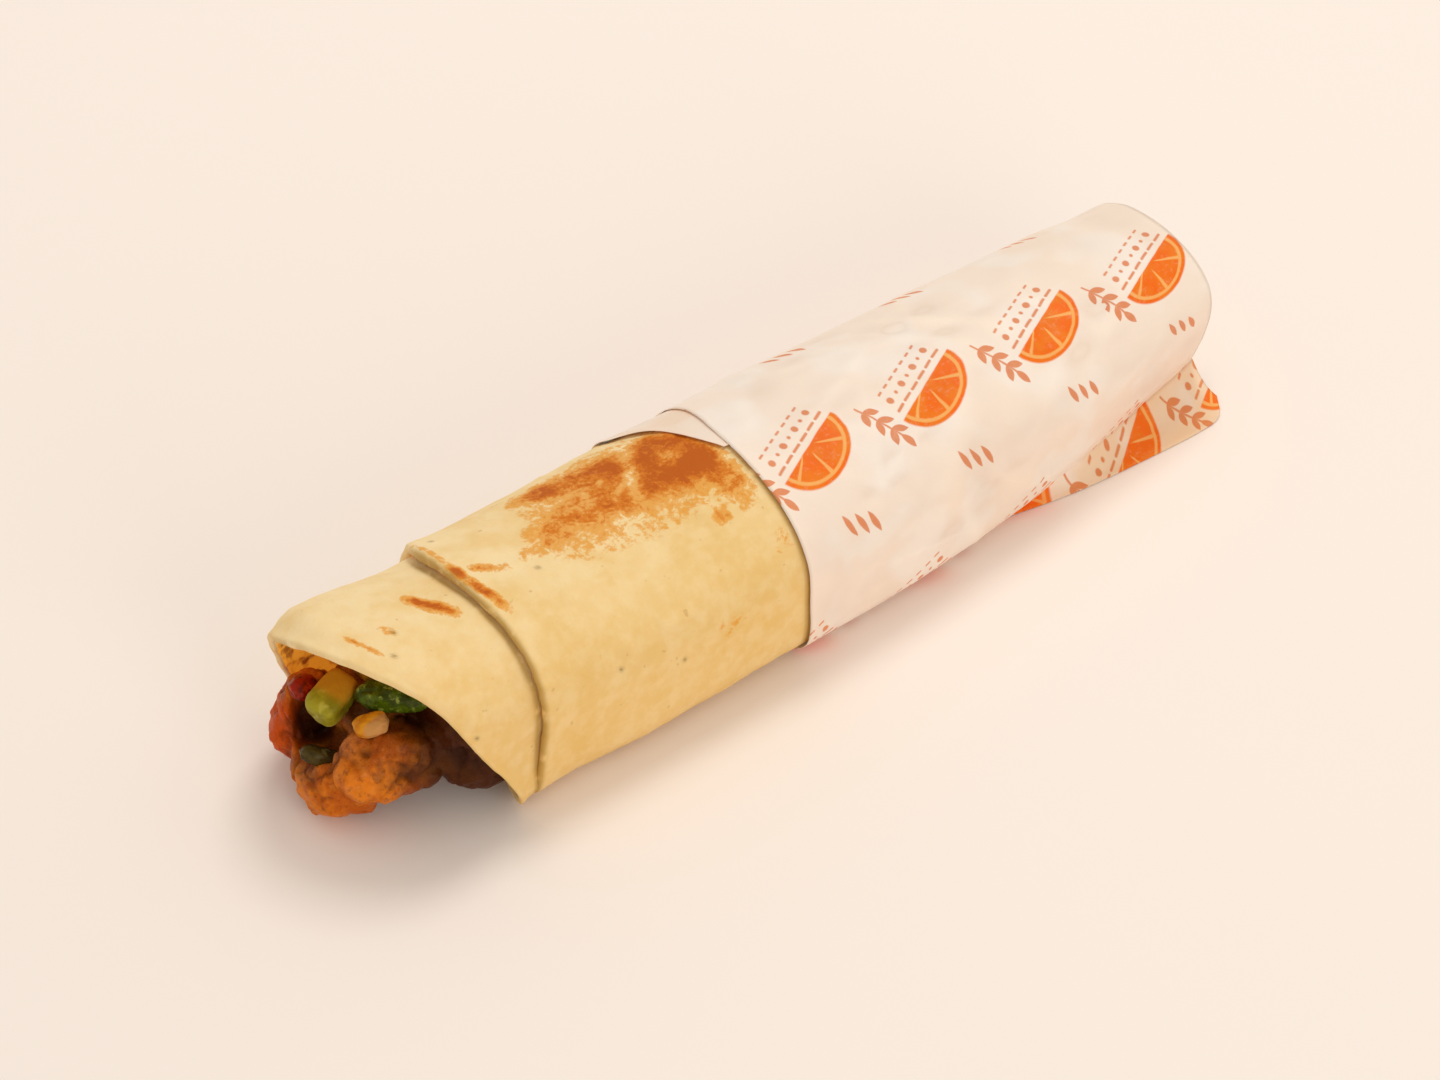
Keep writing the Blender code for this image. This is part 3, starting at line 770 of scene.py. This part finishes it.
def paper_finish():
    """Thin greaseproof paper, warm over bread, with an orange pattern of fruit halves and sprigs, painted
    shade on its lower sides, tail and first turn, and painted light and shade patches of soft folds.
    """
    look = Finish(
        "printed_greaseproof_paper",
        Roughness=0.5,
        Subsurface_Weight=0.15,
        Subsurface_Scale=0.003,
        Subsurface_Radius=(1.0, 0.7, 0.5),
        Specular_IOR_Level=0.2,
        Specular_Tint=(1.0, 0.88, 0.72, 1.0),
    )
    # Painted shade: the paper is a little darker on its lower sides than on top.
    sheet = look.mix(look.attribute("low"), linear(254, 231, 210), linear(249, 225, 204))
    # Painted shade: warmer, darker tone on the tail by the sleeve's foot and on the loose first turn, where
    # print also shows through.
    sheet = look.mix(look.attribute("warm"), sheet, linear(246, 200, 150))
    # Painted light and shade: darker warm cloudy patches and lighter patches stand in for soft folds and for
    # the paper standing off the bread.
    sheet = look.tint(sheet, look.ramp(look.noise(0.03, 2), 0.4, 0.65), 0.35, (251, 222, 196))
    airy = look.ramp(look.noise(0.018, 2, 0.5, 0.2, shift=2.2), 0.46, 0.66)
    sheet = look.tint(sheet, airy, 0.45, (255, 243, 230))

    x, y = print_place(look)
    fruit, pale, rows = fruit_masks(look, x, y)
    thin = either(look, *rows, *sprig_masks(look, x, y))
    worn = look.ramp(look.noise(0.0012, 3, 0.7, shift=8.0), 0.25, 0.5)
    ink = look.times(look.plus(look.times(worn, 0.12), 0.88), look.attribute("inked"))
    uneven = look.ramp(look.noise(0.007, 2, shift=7.0), 0.4, 0.62)
    orange = look.mix(uneven, linear(250, 108, 12), linear(248, 122, 24))
    orange = look.mix(pale, orange, linear(253, 176, 96))
    sheet = look.mix(look.times(fruit, ink), sheet, orange)
    sheet = look.tint(sheet, look.times(thin, ink), 0.85, (226, 116, 46))
    look.set(Base_Color=sheet)
    crinkle = look.ramp(look.noise(0.013, 1, 0.4, 0.3, stretch=(2.0, 1.0, 1.0), shift=3.3), 0.3, 0.7)
    look.bump(look.plus(crinkle, look.times(look.noise(0.0016, 4, 0.6), 0.12)), 0.0010, 0.45)
    return look.material


def toast_marks(station, turn, marks):
    """Sum of the toasted marks at places on the bread."""
    total = np.zeros(station.shape)
    for centre, centre_turn, length, width, slant, strength in marks:
        along = station / MM - centre
        round_it = (turn - centre_turn) * ARC / MM
        cos, sin = direction(slant)
        run = along * cos + round_it * sin
        off = round_it * cos - along * sin
        total = np.maximum(total, 0) + strength * np.exp(-((run / length) ** 4) - (off / width) ** 2)
    return total


def bread_relief(station, turn, seed):
    """Low blisters and unevenness of the baked dough."""
    points = even_round(station, turn)
    relief = 0.16 * cloud(points, 0.012, seed, 2) + 0.09 * cloud(points, 0.005, seed + 1, 2)
    relief += 0.05 * cloud(points, 0.002, seed + 2, 2)
    relief += 0.6 * np.maximum(cloud(points, 0.006, seed + 3, 1) - 0.75, 0.0)
    return relief * MM * (1 - ease(0.36, 0.42, abs(turn)))


def edge_waver(turn, amount, seed):
    """Small unevenness of a torn or cut edge of dough."""
    points = even_round(0 * turn, turn)
    return amount * (0.7 * cloud(points, 0.007, seed, 2) + 0.3 * cloud(points, 0.0025, seed + 1, 1))


def bread_wall(front_knots, cover, back, inset_at, thickness, swell_at, rows, seed):
    """Points and places of one turn of bread: inner face, rounded front edge, outer face.

    The cover is the edge that hides the outer face further back, as its knots and a margin. The rows are
    those of the seen part, the covered part and the inner face. A place is station, turn and how far
    outside it is.
    """
    seen_rows, hidden_rows, inner_rows = rows
    turns = ring_turns(BREAD_COLUMNS)
    front = around(front_knots, turns) * MM + edge_waver(turns, 0.35 * MM, seed)
    seen = around(cover[0], turns) * MM + cover[1]
    radius = thickness / 2 * (1 + edge_waver(turns, 0.12, seed + 5))
    edge = radius + 0.7 * swell_at(front, turns)
    rings = []
    for share in np.linspace(0, 1, inner_rows)[::-1] ** 1.6:
        station = front + edge + (back - front - edge) * share
        rings.append((station, 2 * radius + swell_at(station, turns), -share))
    for step in range(1, EDGE_ROWS):
        angle = math.pi * step / EDGE_ROWS
        station = front + edge * (1 - math.sin(angle) ** 0.8)
        half = radius + swell_at(station, turns) / 2
        rings.append((station, half + half * math.cos(angle), step / EDGE_ROWS))
    for share in np.linspace(0, 1, seen_rows, endpoint=False):
        rings.append((front + edge + (seen - front - edge) * share**1.1, 0 * radius, 1.0))
    for share in np.linspace(0, 1, hidden_rows):
        rings.append((seen + (back - seen) * share, 0 * radius, 1.0))
    station, depth, outside = (np.array(values) for values in zip(*rings))
    turn = np.broadcast_to(turns, station.shape)
    outside = np.broadcast_to(outside[:, None], station.shape)
    relief = bread_relief(station, turn, seed) * (station < RELIEF_END)
    inset = inset_at(station, turn) + depth - relief * np.where(outside > 0, 1.0, 0.5)
    points = wrap_points(station, turn, inset).reshape(-1, 3)
    return points, [station.ravel(), turn.ravel(), outside.ravel()]


def with_closed_end(points, places, thickness):
    """Points, faces and places of the outer turn with its rounded loaf end, outside and inside."""
    rows, count = len(points) // BREAD_COLUMNS, len(CAP_SHRINKS)
    outer, inner = (
        [cap_ring(BREAD_COLUMNS, BREAD_END, BREAD_END_DEPTH, shrink, inset) for shrink in CAP_SHRINKS]
        for inset in (0.0, thickness)
    )
    for ring in inner:
        ring[:, 0] -= thickness
    tips = [rings[-1].mean(axis=0) + [TIP_DEPTH, 0, 0] for rings in (outer, inner)]
    faces = grid_faces(rows, BREAD_COLUMNS, True).tolist()
    for side, (wall_row, first_row) in enumerate(((rows - 1, rows), (0, rows + count))):
        rings = [BREAD_COLUMNS * row for row in (wall_row, *range(first_row, first_row + count))]
        for here, following in zip(rings, rings[1:]):
            faces += ring_quads(here, following, BREAD_COLUMNS)
        faces += fan_faces(rings[-1], BREAD_COLUMNS, BREAD_COLUMNS * (rows + 2 * count) + side, False)
    points = np.concatenate([points, *outer, *inner, tips])
    extra = len(points) - len(places[0])
    places = [np.concatenate([values, np.full(extra, fill)]) for values, fill in zip(places, (0.1, 0.0, 1.0))]
    return points, faces, places


def bread_attributes(places, marks, groove_at):
    """Values for the bread's material at each vertex. The groove along the lip lies at a distance past it."""
    station, turn, outside = places
    out = np.clip(outside, 0, 1)
    toast = toast_marks(station, turn, marks) * ease(0.5, 0.9, out)
    # Painted shade: share of the darker near-side dough colour, rising from the top round to the near side.
    side = ease(-0.06, 0.24, turn) * (1 - ease(0.34, 0.5, turn)) * 0.9
    spot = np.zeros(len(station))
    for centre, centre_turn in SPOTS:
        gap = np.hypot(station / MM - centre, (turn - centre_turn) * ARC / MM)
        spot = np.maximum(spot, hump(gap, 0.0, SPOT_SIZE))
    far = ease(0.02, -0.06, turn)
    stain = (outside <= 0.1) * (0.85 * far + 0.25) * ease(0.5, 1.5, (station - around(RIM, turn) * MM) / MM)
    past_lip = (station - around(LIP, turn) * MM) / MM
    # Painted shade along the groove at the lip, on the lip's nose and along the paper's front edge.
    groove = hump(past_lip, groove_at, 0.9) * ease(-0.13, -0.06, turn)
    nose = hump(turn, LIP_LIFT_TURN, LIP_LIFT_SPREAD) * (past_lip < 3)
    nose = nose * ease(0.9, 0.2, outside) * (outside > 0)
    paper_edge = hump((station - around(PAPER_FRONT, turn) * MM) / MM, 0.0, 0.8)
    crease = np.clip(np.maximum(groove, nose) + paper_edge, 0, 1)
    return {"toast": toast, "side": side, "spot": spot * out, "stain": stain, "crease": crease}


def make_bread(finish):
    """The two turns of flatbread."""
    cover, rows = (LIP, 7 * MM), (64, 8, 44)
    thickness = BREAD_THICKNESS
    points, places = bread_wall(RIM, cover, BREAD_INNER_END, inner_turn_inset, thickness, no_swell, rows, 3)
    faces = grid_faces(len(points) // BREAD_COLUMNS, BREAD_COLUMNS, True, closed_rows=True)
    values = bread_attributes(places, TOAST_FRONT, -0.4)
    inner = to_mesh("bread_inner_turn", points, faces, values, None, finish)

    cover, rows = (PAPER_FRONT, 6 * MM), (110, 10, 12)
    thickness = BREAD_THICKNESS - 0.1 * MM
    points, places = bread_wall(LIP, cover, BREAD_END, outer_turn_inset, thickness, lip_swell, rows, 11)
    points, faces, places = with_closed_end(points, places, thickness)
    values = bread_attributes(places, TOAST + TOAST_LIP, 0.0)
    outer = to_mesh("bread_outer_turn", points, faces, values, None, finish)
    for item in (inner, outer):
        place_of(turned_outward(item), "flatbread")


def paper_folds(station, turn):
    """Soft folds and creases of the paper, standing out from the wrap."""
    random = np.random.default_rng(FOLD_SEED)
    u = station / MM
    v = turn * ARC / MM
    out = np.zeros(station.shape)
    for _ in range(FOLDS):
        centre_u = random.uniform(-2, 128)
        centre_v = random.uniform(-78, 60)
        slant = random.choice((-1, 1)) * random.uniform(0.2, 1.2)
        length = random.uniform(8, 24)
        width = random.uniform(1.2, 3.2)
        height = random.uniform(0.10, 0.42)
        along = (u - centre_u) * math.cos(slant) + (v - centre_v) * math.sin(slant)
        aside = (v - centre_v) * math.cos(slant) - (u - centre_u) * math.sin(slant)
        out += height * np.exp(-((along / length) ** 4) - np.abs(aside / width) ** 1.5)
    points = even_round(station, turn)
    out += 0.22 * (1 + cloud(points, 0.016, 21, 2)) + 0.05 * cloud(points, 0.005, 27, 2)
    return out * MM * (1 - ease(0.3, 0.4, abs(turn)))


def make_sleeve(finish):
    """Rolled sleeve of the sheet, with its pleated far end."""
    turns = ring_turns(PAPER_COLUMNS)
    front = around(PAPER_FRONT, turns) * MM + edge_waver(turns, 0.12 * MM, 31)
    stations, insets = [], []
    for share in np.linspace(1, 0, SLEEVE_INNER_ROWS):
        stations.append(front + 0.1 * MM + (PAPER_END - 1 * MM - front) * share)
        insets.append(-PAPER_OUT + PAPER_THICKNESS)
    for share in np.linspace(0, 1, SLEEVE_ROWS):
        stations.append(front + (PAPER_END - front) * share)
        insets.append(-PAPER_OUT)
    station = np.array(stations)
    turn = np.broadcast_to(turns, station.shape)
    inset = np.broadcast_to(np.array(insets)[:, None], station.shape)
    rings = list(wrap_points(station, turn, inset - paper_folds(station, turn)))
    last = rings[-1]
    centre = last.mean(axis=0)
    for shrink, dish in PAPER_END_ROWS:
        ring = centre + (last - centre) * shrink
        pleat = np.sin(np.arange(PAPER_COLUMNS) / PAPER_COLUMNS * math.tau * PLEATS + shrink * 5)
        ring[:, 0] = PAPER_END - PAPER_END_DISH * dish + PLEAT_HEIGHT * pleat * (1 - shrink) ** 0.5 * shrink
        rings.append(ring)
    tip = centre.copy()
    tip[0] = PAPER_END - PAPER_END_DISH
    count = len(rings)
    points = np.concatenate([*rings, [tip], [rings[0].mean(axis=0)]])
    faces = grid_faces(count, PAPER_COLUMNS, True).tolist()
    faces += fan_faces((count - 1) * PAPER_COLUMNS, PAPER_COLUMNS, count * PAPER_COLUMNS, False)
    faces += fan_faces(0, PAPER_COLUMNS, count * PAPER_COLUMNS + 1, True)

    u = np.concatenate([station.ravel(), np.full(len(points) - station.size, PAPER_END)])
    v = np.concatenate([turn.ravel(), np.tile(turns, len(PAPER_END_ROWS)), [0.0, 0.0]])
    uvs = []
    for face in faces:
        corners = [v[index] for index in face]
        lap = max(corners) - min(corners) > 0.5
        uvs += [(u[index], (v[index] + (lap and v[index] < 0)) * ARC) for index in face]
    # Painted shade: share of the darker colour of the paper's lower sides.
    low = ease(0.1, 0.3, np.abs(v))
    inked = np.zeros(len(points))
    inked[SLEEVE_INNER_ROWS * PAPER_COLUMNS : station.size] = 1
    # No painted warm shade on the sleeve.
    values = {"low": low, "inked": inked, "warm": 0 * low}
    sleeve = to_mesh("paper_sleeve", points, faces, values, uvs, finish)
    place_of(turned_outward(sleeve), "paper_wrap")


def make_sheet(name, points, u, v, shares, thickness, finish):
    """Open stretch of the sheet on a grid of points, with its place on the print and its looks."""
    faces = grid_faces(*u.shape, False)
    uvs = np.stack([u.ravel(), v.ravel()], axis=-1)[faces.ravel()]
    values = {key: np.full(u.size, share) for key, share in shares.items()}
    sheet = to_mesh(name, points.reshape(-1, 3), faces, values, uvs, finish)
    thicken(sheet, thickness)
    place_of(sheet, "paper_wrap")


def make_first_turn(finish):
    """Loose first turn of the sheet, which shows in front of the sleeve on the far side."""
    turns = np.linspace(FIRST_TURN_FRONT[0][0], FIRST_TURN_FRONT[-1][0], 90)
    front = smooth(FIRST_TURN_FRONT, turns) * MM
    share = np.linspace(0, 1, 26)[:, None]
    station = front + (2.0 * MM - front) * share
    turn = np.broadcast_to(turns, station.shape)
    flat = np.stack([station, turn * ARC, 0 * station], axis=-1)
    lifted = 0.25 * MM * np.exp(-share * 6) + 0.12 * MM * cloud(flat, 0.006, 44, 2) * (1 - share)
    points = wrap_points(station, turn, -FIRST_TURN_OUT - lifted)
    # Painted shade: the first turn takes part of the darker lower-side colour and of the warm shade.
    shares = {"low": 0.5, "inked": 0.0, "warm": 0.3}
    make_sheet("paper_first_turn", points, station, turn * ARC, shares, 0.14 * MM, finish)


def make_tail(finish):
    """End of the sheet, which comes off the sleeve's near foot and lies on the ground."""
    stations = np.linspace(50, 130, 80) * MM
    edge_y = smooth(TAIL_EDGE, stations / MM) * MM
    root_turns = 0.392 - 0.057 * ease(50, 88, stations / MM)
    root = wrap_points(stations, root_turns, -PAPER_OUT + 0.05 * MM)
    share = np.linspace(0, 1, 16)[:, None]
    y = root[:, 1] + (np.minimum(edge_y, root[:, 1] - 0.3 * MM) - root[:, 1]) * share
    station = np.broadcast_to(stations, y.shape)
    ripple = 0.3 * MM * (1 + cloud(np.stack([station, y, 0 * y], axis=-1), 0.012, 51, 1))
    z = TAIL_TOP + (root[:, 2] - TAIL_TOP) * (1 - share) ** 2.4 + ripple * np.sin(share * math.pi) * 0.8
    points = np.stack([station, y, z], axis=-1)
    # Painted shade: the tail takes the darker lower-side colour and most of the warm shade.
    shares = {"low": 1.0, "inked": 1.0, "warm": 0.75}
    v = root_turns * ARC + root[:, 1] - y
    make_sheet("paper_tail", points, station, v, shares, PAPER_THICKNESS, finish)


def thicken(item, thickness):
    """Gives an open sheet its thickness and applies it."""
    turned_outward(item)
    wall = item.modifiers.new("Wall", "SOLIDIFY")
    wall.thickness = thickness
    wall.offset = -1.0
    graph = bpy.context.evaluated_depsgraph_get()
    mesh = bpy.data.meshes.new_from_object(item.evaluated_get(graph))
    item.modifiers.clear()
    item.data = mesh


def lump_points(item_seed, centre, half_sizes, turns, squareness, roughness, fineness):
    """Vertices, faces and directions of an uneven rounded piece of food."""
    form = bmesh.new()
    bmesh.ops.create_icosphere(form, subdivisions=fineness, radius=1.0)
    ways = np.array([vertex.co.normalized() for vertex in form.verts])
    faces = [[vertex.index for vertex in face.verts] for face in form.faces]
    form.free()
    reach = (np.abs(ways) ** squareness).sum(axis=1) ** (-1 / squareness)
    offset = Vector((item_seed * 7.3, item_seed * 3.1, item_seed * 5.7))
    large, small = ([noise.noise(Vector(way) * pace + offset) for way in ways] for pace in (1.3, 3.1))
    bumps = [first + 0.5 * second for first, second in zip(large, small)]
    radius = reach * (1 + roughness * np.array(bumps))
    local = ways * radius[:, None]
    spread = np.array(Euler([math.radians(turn) for turn in turns]).to_matrix())
    points = (local * np.array(half_sizes) * MM) @ spread.T + np.array(centre) * MM
    return points, faces, local


def meat_finish():
    """Grilled meat: brown and orange, moist, with painted shade in its crevices and where it lies in shade,
    and painted light on a lit end face.
    """
    look = Finish(
        "grilled_meat",
        Subsurface_Weight=0.08,
        Subsurface_Scale=0.002,
        Subsurface_Radius=(1.0, 0.3, 0.1),
        Coat_Weight=0.05,
        Coat_Roughness=0.12,
        Specular_IOR_Level=0.22,
        Specular_Tint=(1.0, 0.62, 0.32, 1.0),
    )
    warm = look.ramp(look.noise(0.007, 4, 0.6), 0.38, 0.62)
    colour = look.mix(warm, linear(184, 86, 10), linear(224, 124, 26))
    tan = look.ramp(look.noise(0.0032, 4, 0.65, shift=3.0), 0.54, 0.72)
    colour = look.tint(colour, tan, 0.6, (224, 140, 66))
    # Painted light: paler tan on the lit left end face of the near chunk.
    colour = look.tint(colour, look.attribute("tanned"), 0.55, (236, 150, 92))
    colour = look.tint(colour, look.attribute("glazed"), 0.85, (202, 72, 2))
    char = look.ramp(look.noise(0.0017, 4, 0.75, shift=6.0), 0.54, 0.64)
    colour = look.tint(colour, char, 0.45, (84, 30, 8))
    # Painted shade in the crevices, where the relief sinks in.
    colour = look.tint(colour, look.attribute("cavity"), 0.85, (70, 22, 5))
    # Painted shade: near-black red in the hollows, under the rim, between the pieces and on the core inside
    # the bread.
    colour = look.mix(look.attribute("dim"), colour, linear(42, 10, 3))
    look.set(Base_Color=colour, Roughness=look.ramp(look.noise(0.003, shift=1.0), 0.3, 0.7, 0.32, 0.55))
    height = look.plus(look.noise(0.0018, 5, 0.68), look.times(look.noise(0.0006, 3, shift=4.0), 0.4))
    look.bump(height, 0.0006, 0.7)
    return look.material


def joined_lumps(name, lumps):
    """One mesh object that holds the lumps side by side."""
    faces, start = [], 0
    for points, lump_faces in lumps:
        faces += [[index + start for index in face] for face in lump_faces]
        start += len(points)
    return to_mesh(name, np.concatenate([points for points, _ in lumps]), faces)


def remeshed(item, voxel):
    """The item as one even skin, as points, normals and faces."""
    turned_outward(item)
    remesh = item.modifiers.new("Skin", "REMESH")
    remesh.mode = "VOXEL"
    remesh.voxel_size = voxel
    graph = bpy.context.evaluated_depsgraph_get()
    mesh = bpy.data.meshes.new_from_object(item.evaluated_get(graph))
    points = np.array([vertex.co for vertex in mesh.vertices])
    normals = np.array([vertex.normal for vertex in mesh.vertices])
    faces = [list(face.vertices) for face in mesh.polygons]
    bpy.data.objects.remove(item)
    return points, normals, faces


def meat_lumps():
    """The large pieces of meat, small lumps that stand out from them and the filling that they grow from."""
    lumps = []
    for index, (centre, half_sizes, yaw, roughness) in enumerate(MEAT_PIECES):
        lump = lump_points(index + 1, centre, half_sizes, (0, 0, yaw), MEAT_SQUARENESS, roughness, 4)
        lumps.append(lump[:2])
    rng = np.random.default_rng(LUMP_SEED)
    for index in range(SMALL_LUMPS):
        base = lumps[int(rng.integers(0, len(MEAT_PIECES)))][0]
        place = base[int(rng.integers(0, len(base)))]
        place = place + (base.mean(axis=0) - place) * 0.16
        if place[0] > -98 * MM or place[2] < 4 * MM:
            continue
        half = rng.uniform(0.9, 2.6, 3)
        turns = rng.uniform(-60, 60, 3)
        centre = place / MM
        centre[2] = max(centre[2], half.max() * 0.8 + 1.0)
        lumps.append(lump_points(60 + index, centre, half, turns, 2.2, 0.25, 3)[:2])
    nose = FILLING_NOSE - FILLING_SHOULDER
    rings = []
    for shrink in (*CAP_SHRINKS[::-1], 1.0):
        rings.append(cap_ring(CORE_COLUMNS, FILLING_SHOULDER, nose, shrink, FILLING_INSET))
    rings += core_rings(FILLING_SHOULDER + 4 * MM, -78 * MM, 4)
    return [*lumps, closed_rings(rings)]


def core_rings(start, end, count):
    """Rings of the filling's long core between two stations."""
    turns = ring_turns(CORE_COLUMNS)
    stations = np.linspace(start, end, count)
    return [wrap_points(np.full(CORE_COLUMNS, station), turns, FILLING_INSET) for station in stations]


def carved(points):
    """The points with the hollows between the pieces of meat pushed in, and how much painted shade each point
    then gets.
    """
    dim = np.zeros(len(points))
    for centre, across, upward, depth in HOLLOWS:
        rel = points - np.array(centre) * MM
        along = rel @ HOLLOW_WAY
        right = rel @ HOLLOW_RIGHT / (across * MM)
        up = rel @ np.cross(HOLLOW_RIGHT, HOLLOW_WAY) / (upward * MM)
        share = np.exp(-((right * right + up * up) ** 1.6))
        share = share * ease(-0.012, -0.007, along) * ease(0.016, 0.009, along)
        points = points + HOLLOW_WAY * (depth * MM * share)[:, None]
        dim = np.maximum(dim, np.clip(1.5 * share - 0.25, 0, 1))
    return points, dim


def meat_shades(points, dim):
    """Where the meat is glazed, where shade is painted on it, and where painted light falls on its lit end
    face.
    """
    x, y, z = points.T
    # Painted shade where the meat lies under the bread's rim, towards the back and between the pieces.
    behind = ease(-0.105, -0.098, x) * ease(0.015, 0.024, z)
    dim = np.clip(np.maximum(dim, behind), 0, 0.97)
    dim = np.maximum(dim, 0.92 * ease(-0.1195, -0.104, x) * ease(0.0, -0.006, y))
    between = hump(x, -0.111, 0.006) * hump(y, 0.0, 0.006) * ease(0.019, 0.023, z)
    dim = np.maximum(dim, 0.9 * np.clip(1.4 * between, 0, 1))
    dim = np.maximum(dim, 0.6 * ease(-0.116, -0.108, x) * ease(0.02, 0.026, z) * ease(-0.004, 0.004, y))
    # Painted light on the lit left end face of the near chunk.
    tanned = hump(x, -0.1195, 0.004) * hump(y, -0.0015, 0.005) * ease(0.014, 0.018, z)
    return {"glazed": ease(0.008, 0.015, y) * ease(0.026, 0.020, z), "dim": dim, "tanned": tanned}


def make_meat(finish):
    """Meat at the open end, fused from uneven chunks, and the core that runs through the bread."""
    points, normals, faces = remeshed(joined_lumps("meat_front_raw", meat_lumps()), MEAT_VOXEL)
    knobs = cloud(points, 0.0065, 71, 2)
    grain = cloud(points, 0.0026, 75, 2)
    crumb = cloud(points, 0.0012, 79, 1)
    crack = hump(cloud(points, 0.008, 83, 2), 0.0, 0.09)
    out = 0.85 * knobs + 0.42 * grain + 0.12 * crumb - 0.45 * crack
    shown = ease(-0.088, -0.098, points[:, 0])
    points = points + normals * (out * MM * shown)[:, None]
    points[:, 2] = np.maximum(points[:, 2], 0.35 * MM)
    points, dim = carved(points)
    # Painted shade in the crevices, from how far the relief sinks in.
    values = {"cavity": np.clip(-0.95 * out - 0.1, 0, 1), **meat_shades(points, dim)}
    meat = to_mesh("meat_front", points, faces, values, None, finish)
    place_of(meat, "meat_filling")

    rings = core_rings(-82 * MM, FILLING_END, 12)
    for shrink in CAP_SHRINKS:
        rings.append(cap_ring(CORE_COLUMNS, FILLING_END, FILLING_END_DEPTH, shrink, FILLING_INSET))
    points, faces = closed_rings(rings)
    # The core inside the bread is painted with shade all over.
    core = to_mesh("meat_core", points, faces, {"dim": np.full(len(points), 0.9)}, None, finish)
    place_of(turned_outward(core), "meat_filling")


def flesh_finish(name, base, pale, dark, size, marks):
    """Moist vegetable flesh with paler and darker patches. Each mark is an attribute and its tone."""
    look = Finish(
        name,
        Roughness=0.34,
        Subsurface_Weight=0.15,
        Subsurface_Scale=0.002,
        Coat_Weight=0.06,
        Coat_Roughness=0.12,
        Specular_IOR_Level=0.22,
        Specular_Tint=(1.0, 0.85, 0.45, 1.0),
    )
    patch = look.ramp(look.noise(size, 3, 0.6), 0.42, 0.62)
    colour = look.mix(patch, linear(*base), linear(*dark))
    bright = look.ramp(look.noise(size * 0.55, 3, 0.6, shift=4.0), 0.56, 0.68)
    colour = look.tint(colour, bright, 0.8, pale)
    for key, tone in marks.items():
        colour = look.mix(look.attribute(key), colour, linear(*tone))
    look.set(Base_Color=colour)
    look.bump(look.noise(0.0011, 4, 0.6), 0.0003, 0.5)
    return look.material


def make_vegetables():
    """Pieces of vegetable at the open end."""
    for index, (name, centre, half_sizes, turns, squareness, roughness) in enumerate(VEGETABLES):
        seed = FIRST_VEGETABLE_SEED + index
        slot, base, pale, dark, size, marks = VEGETABLE_LOOKS[name]
        points, faces, local = lump_points(seed, centre, half_sizes, turns, squareness, roughness, 5)
        bumpy = 0.45 if name in BUMPY_VEGETABLES else 0.14
        way = points - np.array(centre) * MM
        way /= np.linalg.norm(way, axis=1)[:, None]
        points = points + way * (bumpy * MM * cloud(points, 0.0032, seed, 2))[:, None]
        x, y, z = local.T
        values = {"low_face": ease(-0.35, -0.7, z), "upper": ease(0.3, 0.6, z) * ease(-0.5, 0.0, x)}
        values["near_face"] = ease(0.3, 0.7, x - y)
        finish = flesh_finish(name + "_flesh", base, pale, dark, size, marks)
        place_of(to_mesh(name + "_piece", points, faces, values, None, finish), name)


def make_stage():
    """Pale floor and soft studio light."""
    pale = (*linear(248, 236, 226), 1.0)
    look = Finish("pale_floor", Roughness=0.9, Specular_IOR_Level=0.1, Base_Color=pale)
    bpy.ops.mesh.primitive_plane_add(size=FLOOR_SIZE)
    floor = bpy.context.object
    floor.name = "studio_floor"
    floor.data.materials.append(look.material)

    scene = bpy.context.scene
    scene.world = bpy.data.worlds.new("studio")
    scene.world.use_nodes = True
    sky = scene.world.node_tree.nodes["Background"]
    sky.inputs["Color"].default_value = SKY_COLOUR
    sky.inputs["Strength"].default_value = SKY_STRENGTH
    for name, place, size, power in LIGHTS:
        light = bpy.data.lights.new(name, "AREA")
        light.shape = "DISK"
        light.size = size
        light.energy = power
        lamp = bpy.data.objects.new(name, light)
        lamp.location = place
        lamp.rotation_euler = Vector(place).to_track_quat("Z", "Y").to_euler()
        scene.collection.objects.link(lamp)
    scene.view_settings.view_transform = "Standard"


def make_camera():
    """Camera at the viewing angle of the photograph."""
    right, up = Vector(CAMERA_RIGHT), Vector(CAMERA_UP)
    matrix = Matrix((right, up, right.cross(up))).transposed().to_4x4()
    matrix.translation = Vector(CAMERA_PLACE)
    data = bpy.data.cameras.new("camera")
    data.lens = CAMERA_LENS
    data.sensor_width = CAMERA_SENSOR
    data.clip_start = 0.01
    data.clip_end = 50.0
    camera = bpy.data.objects.new("camera", data)
    camera.matrix_world = matrix
    bpy.context.scene.collection.objects.link(camera)
    bpy.context.scene.camera = camera


make_camera()
make_stage()
make_bread(bread_finish())
paper = paper_finish()
make_sleeve(paper)
make_first_turn(paper)
make_tail(paper)
make_meat(meat_finish())
make_vegetables()

bpy.context.view_layer.update()
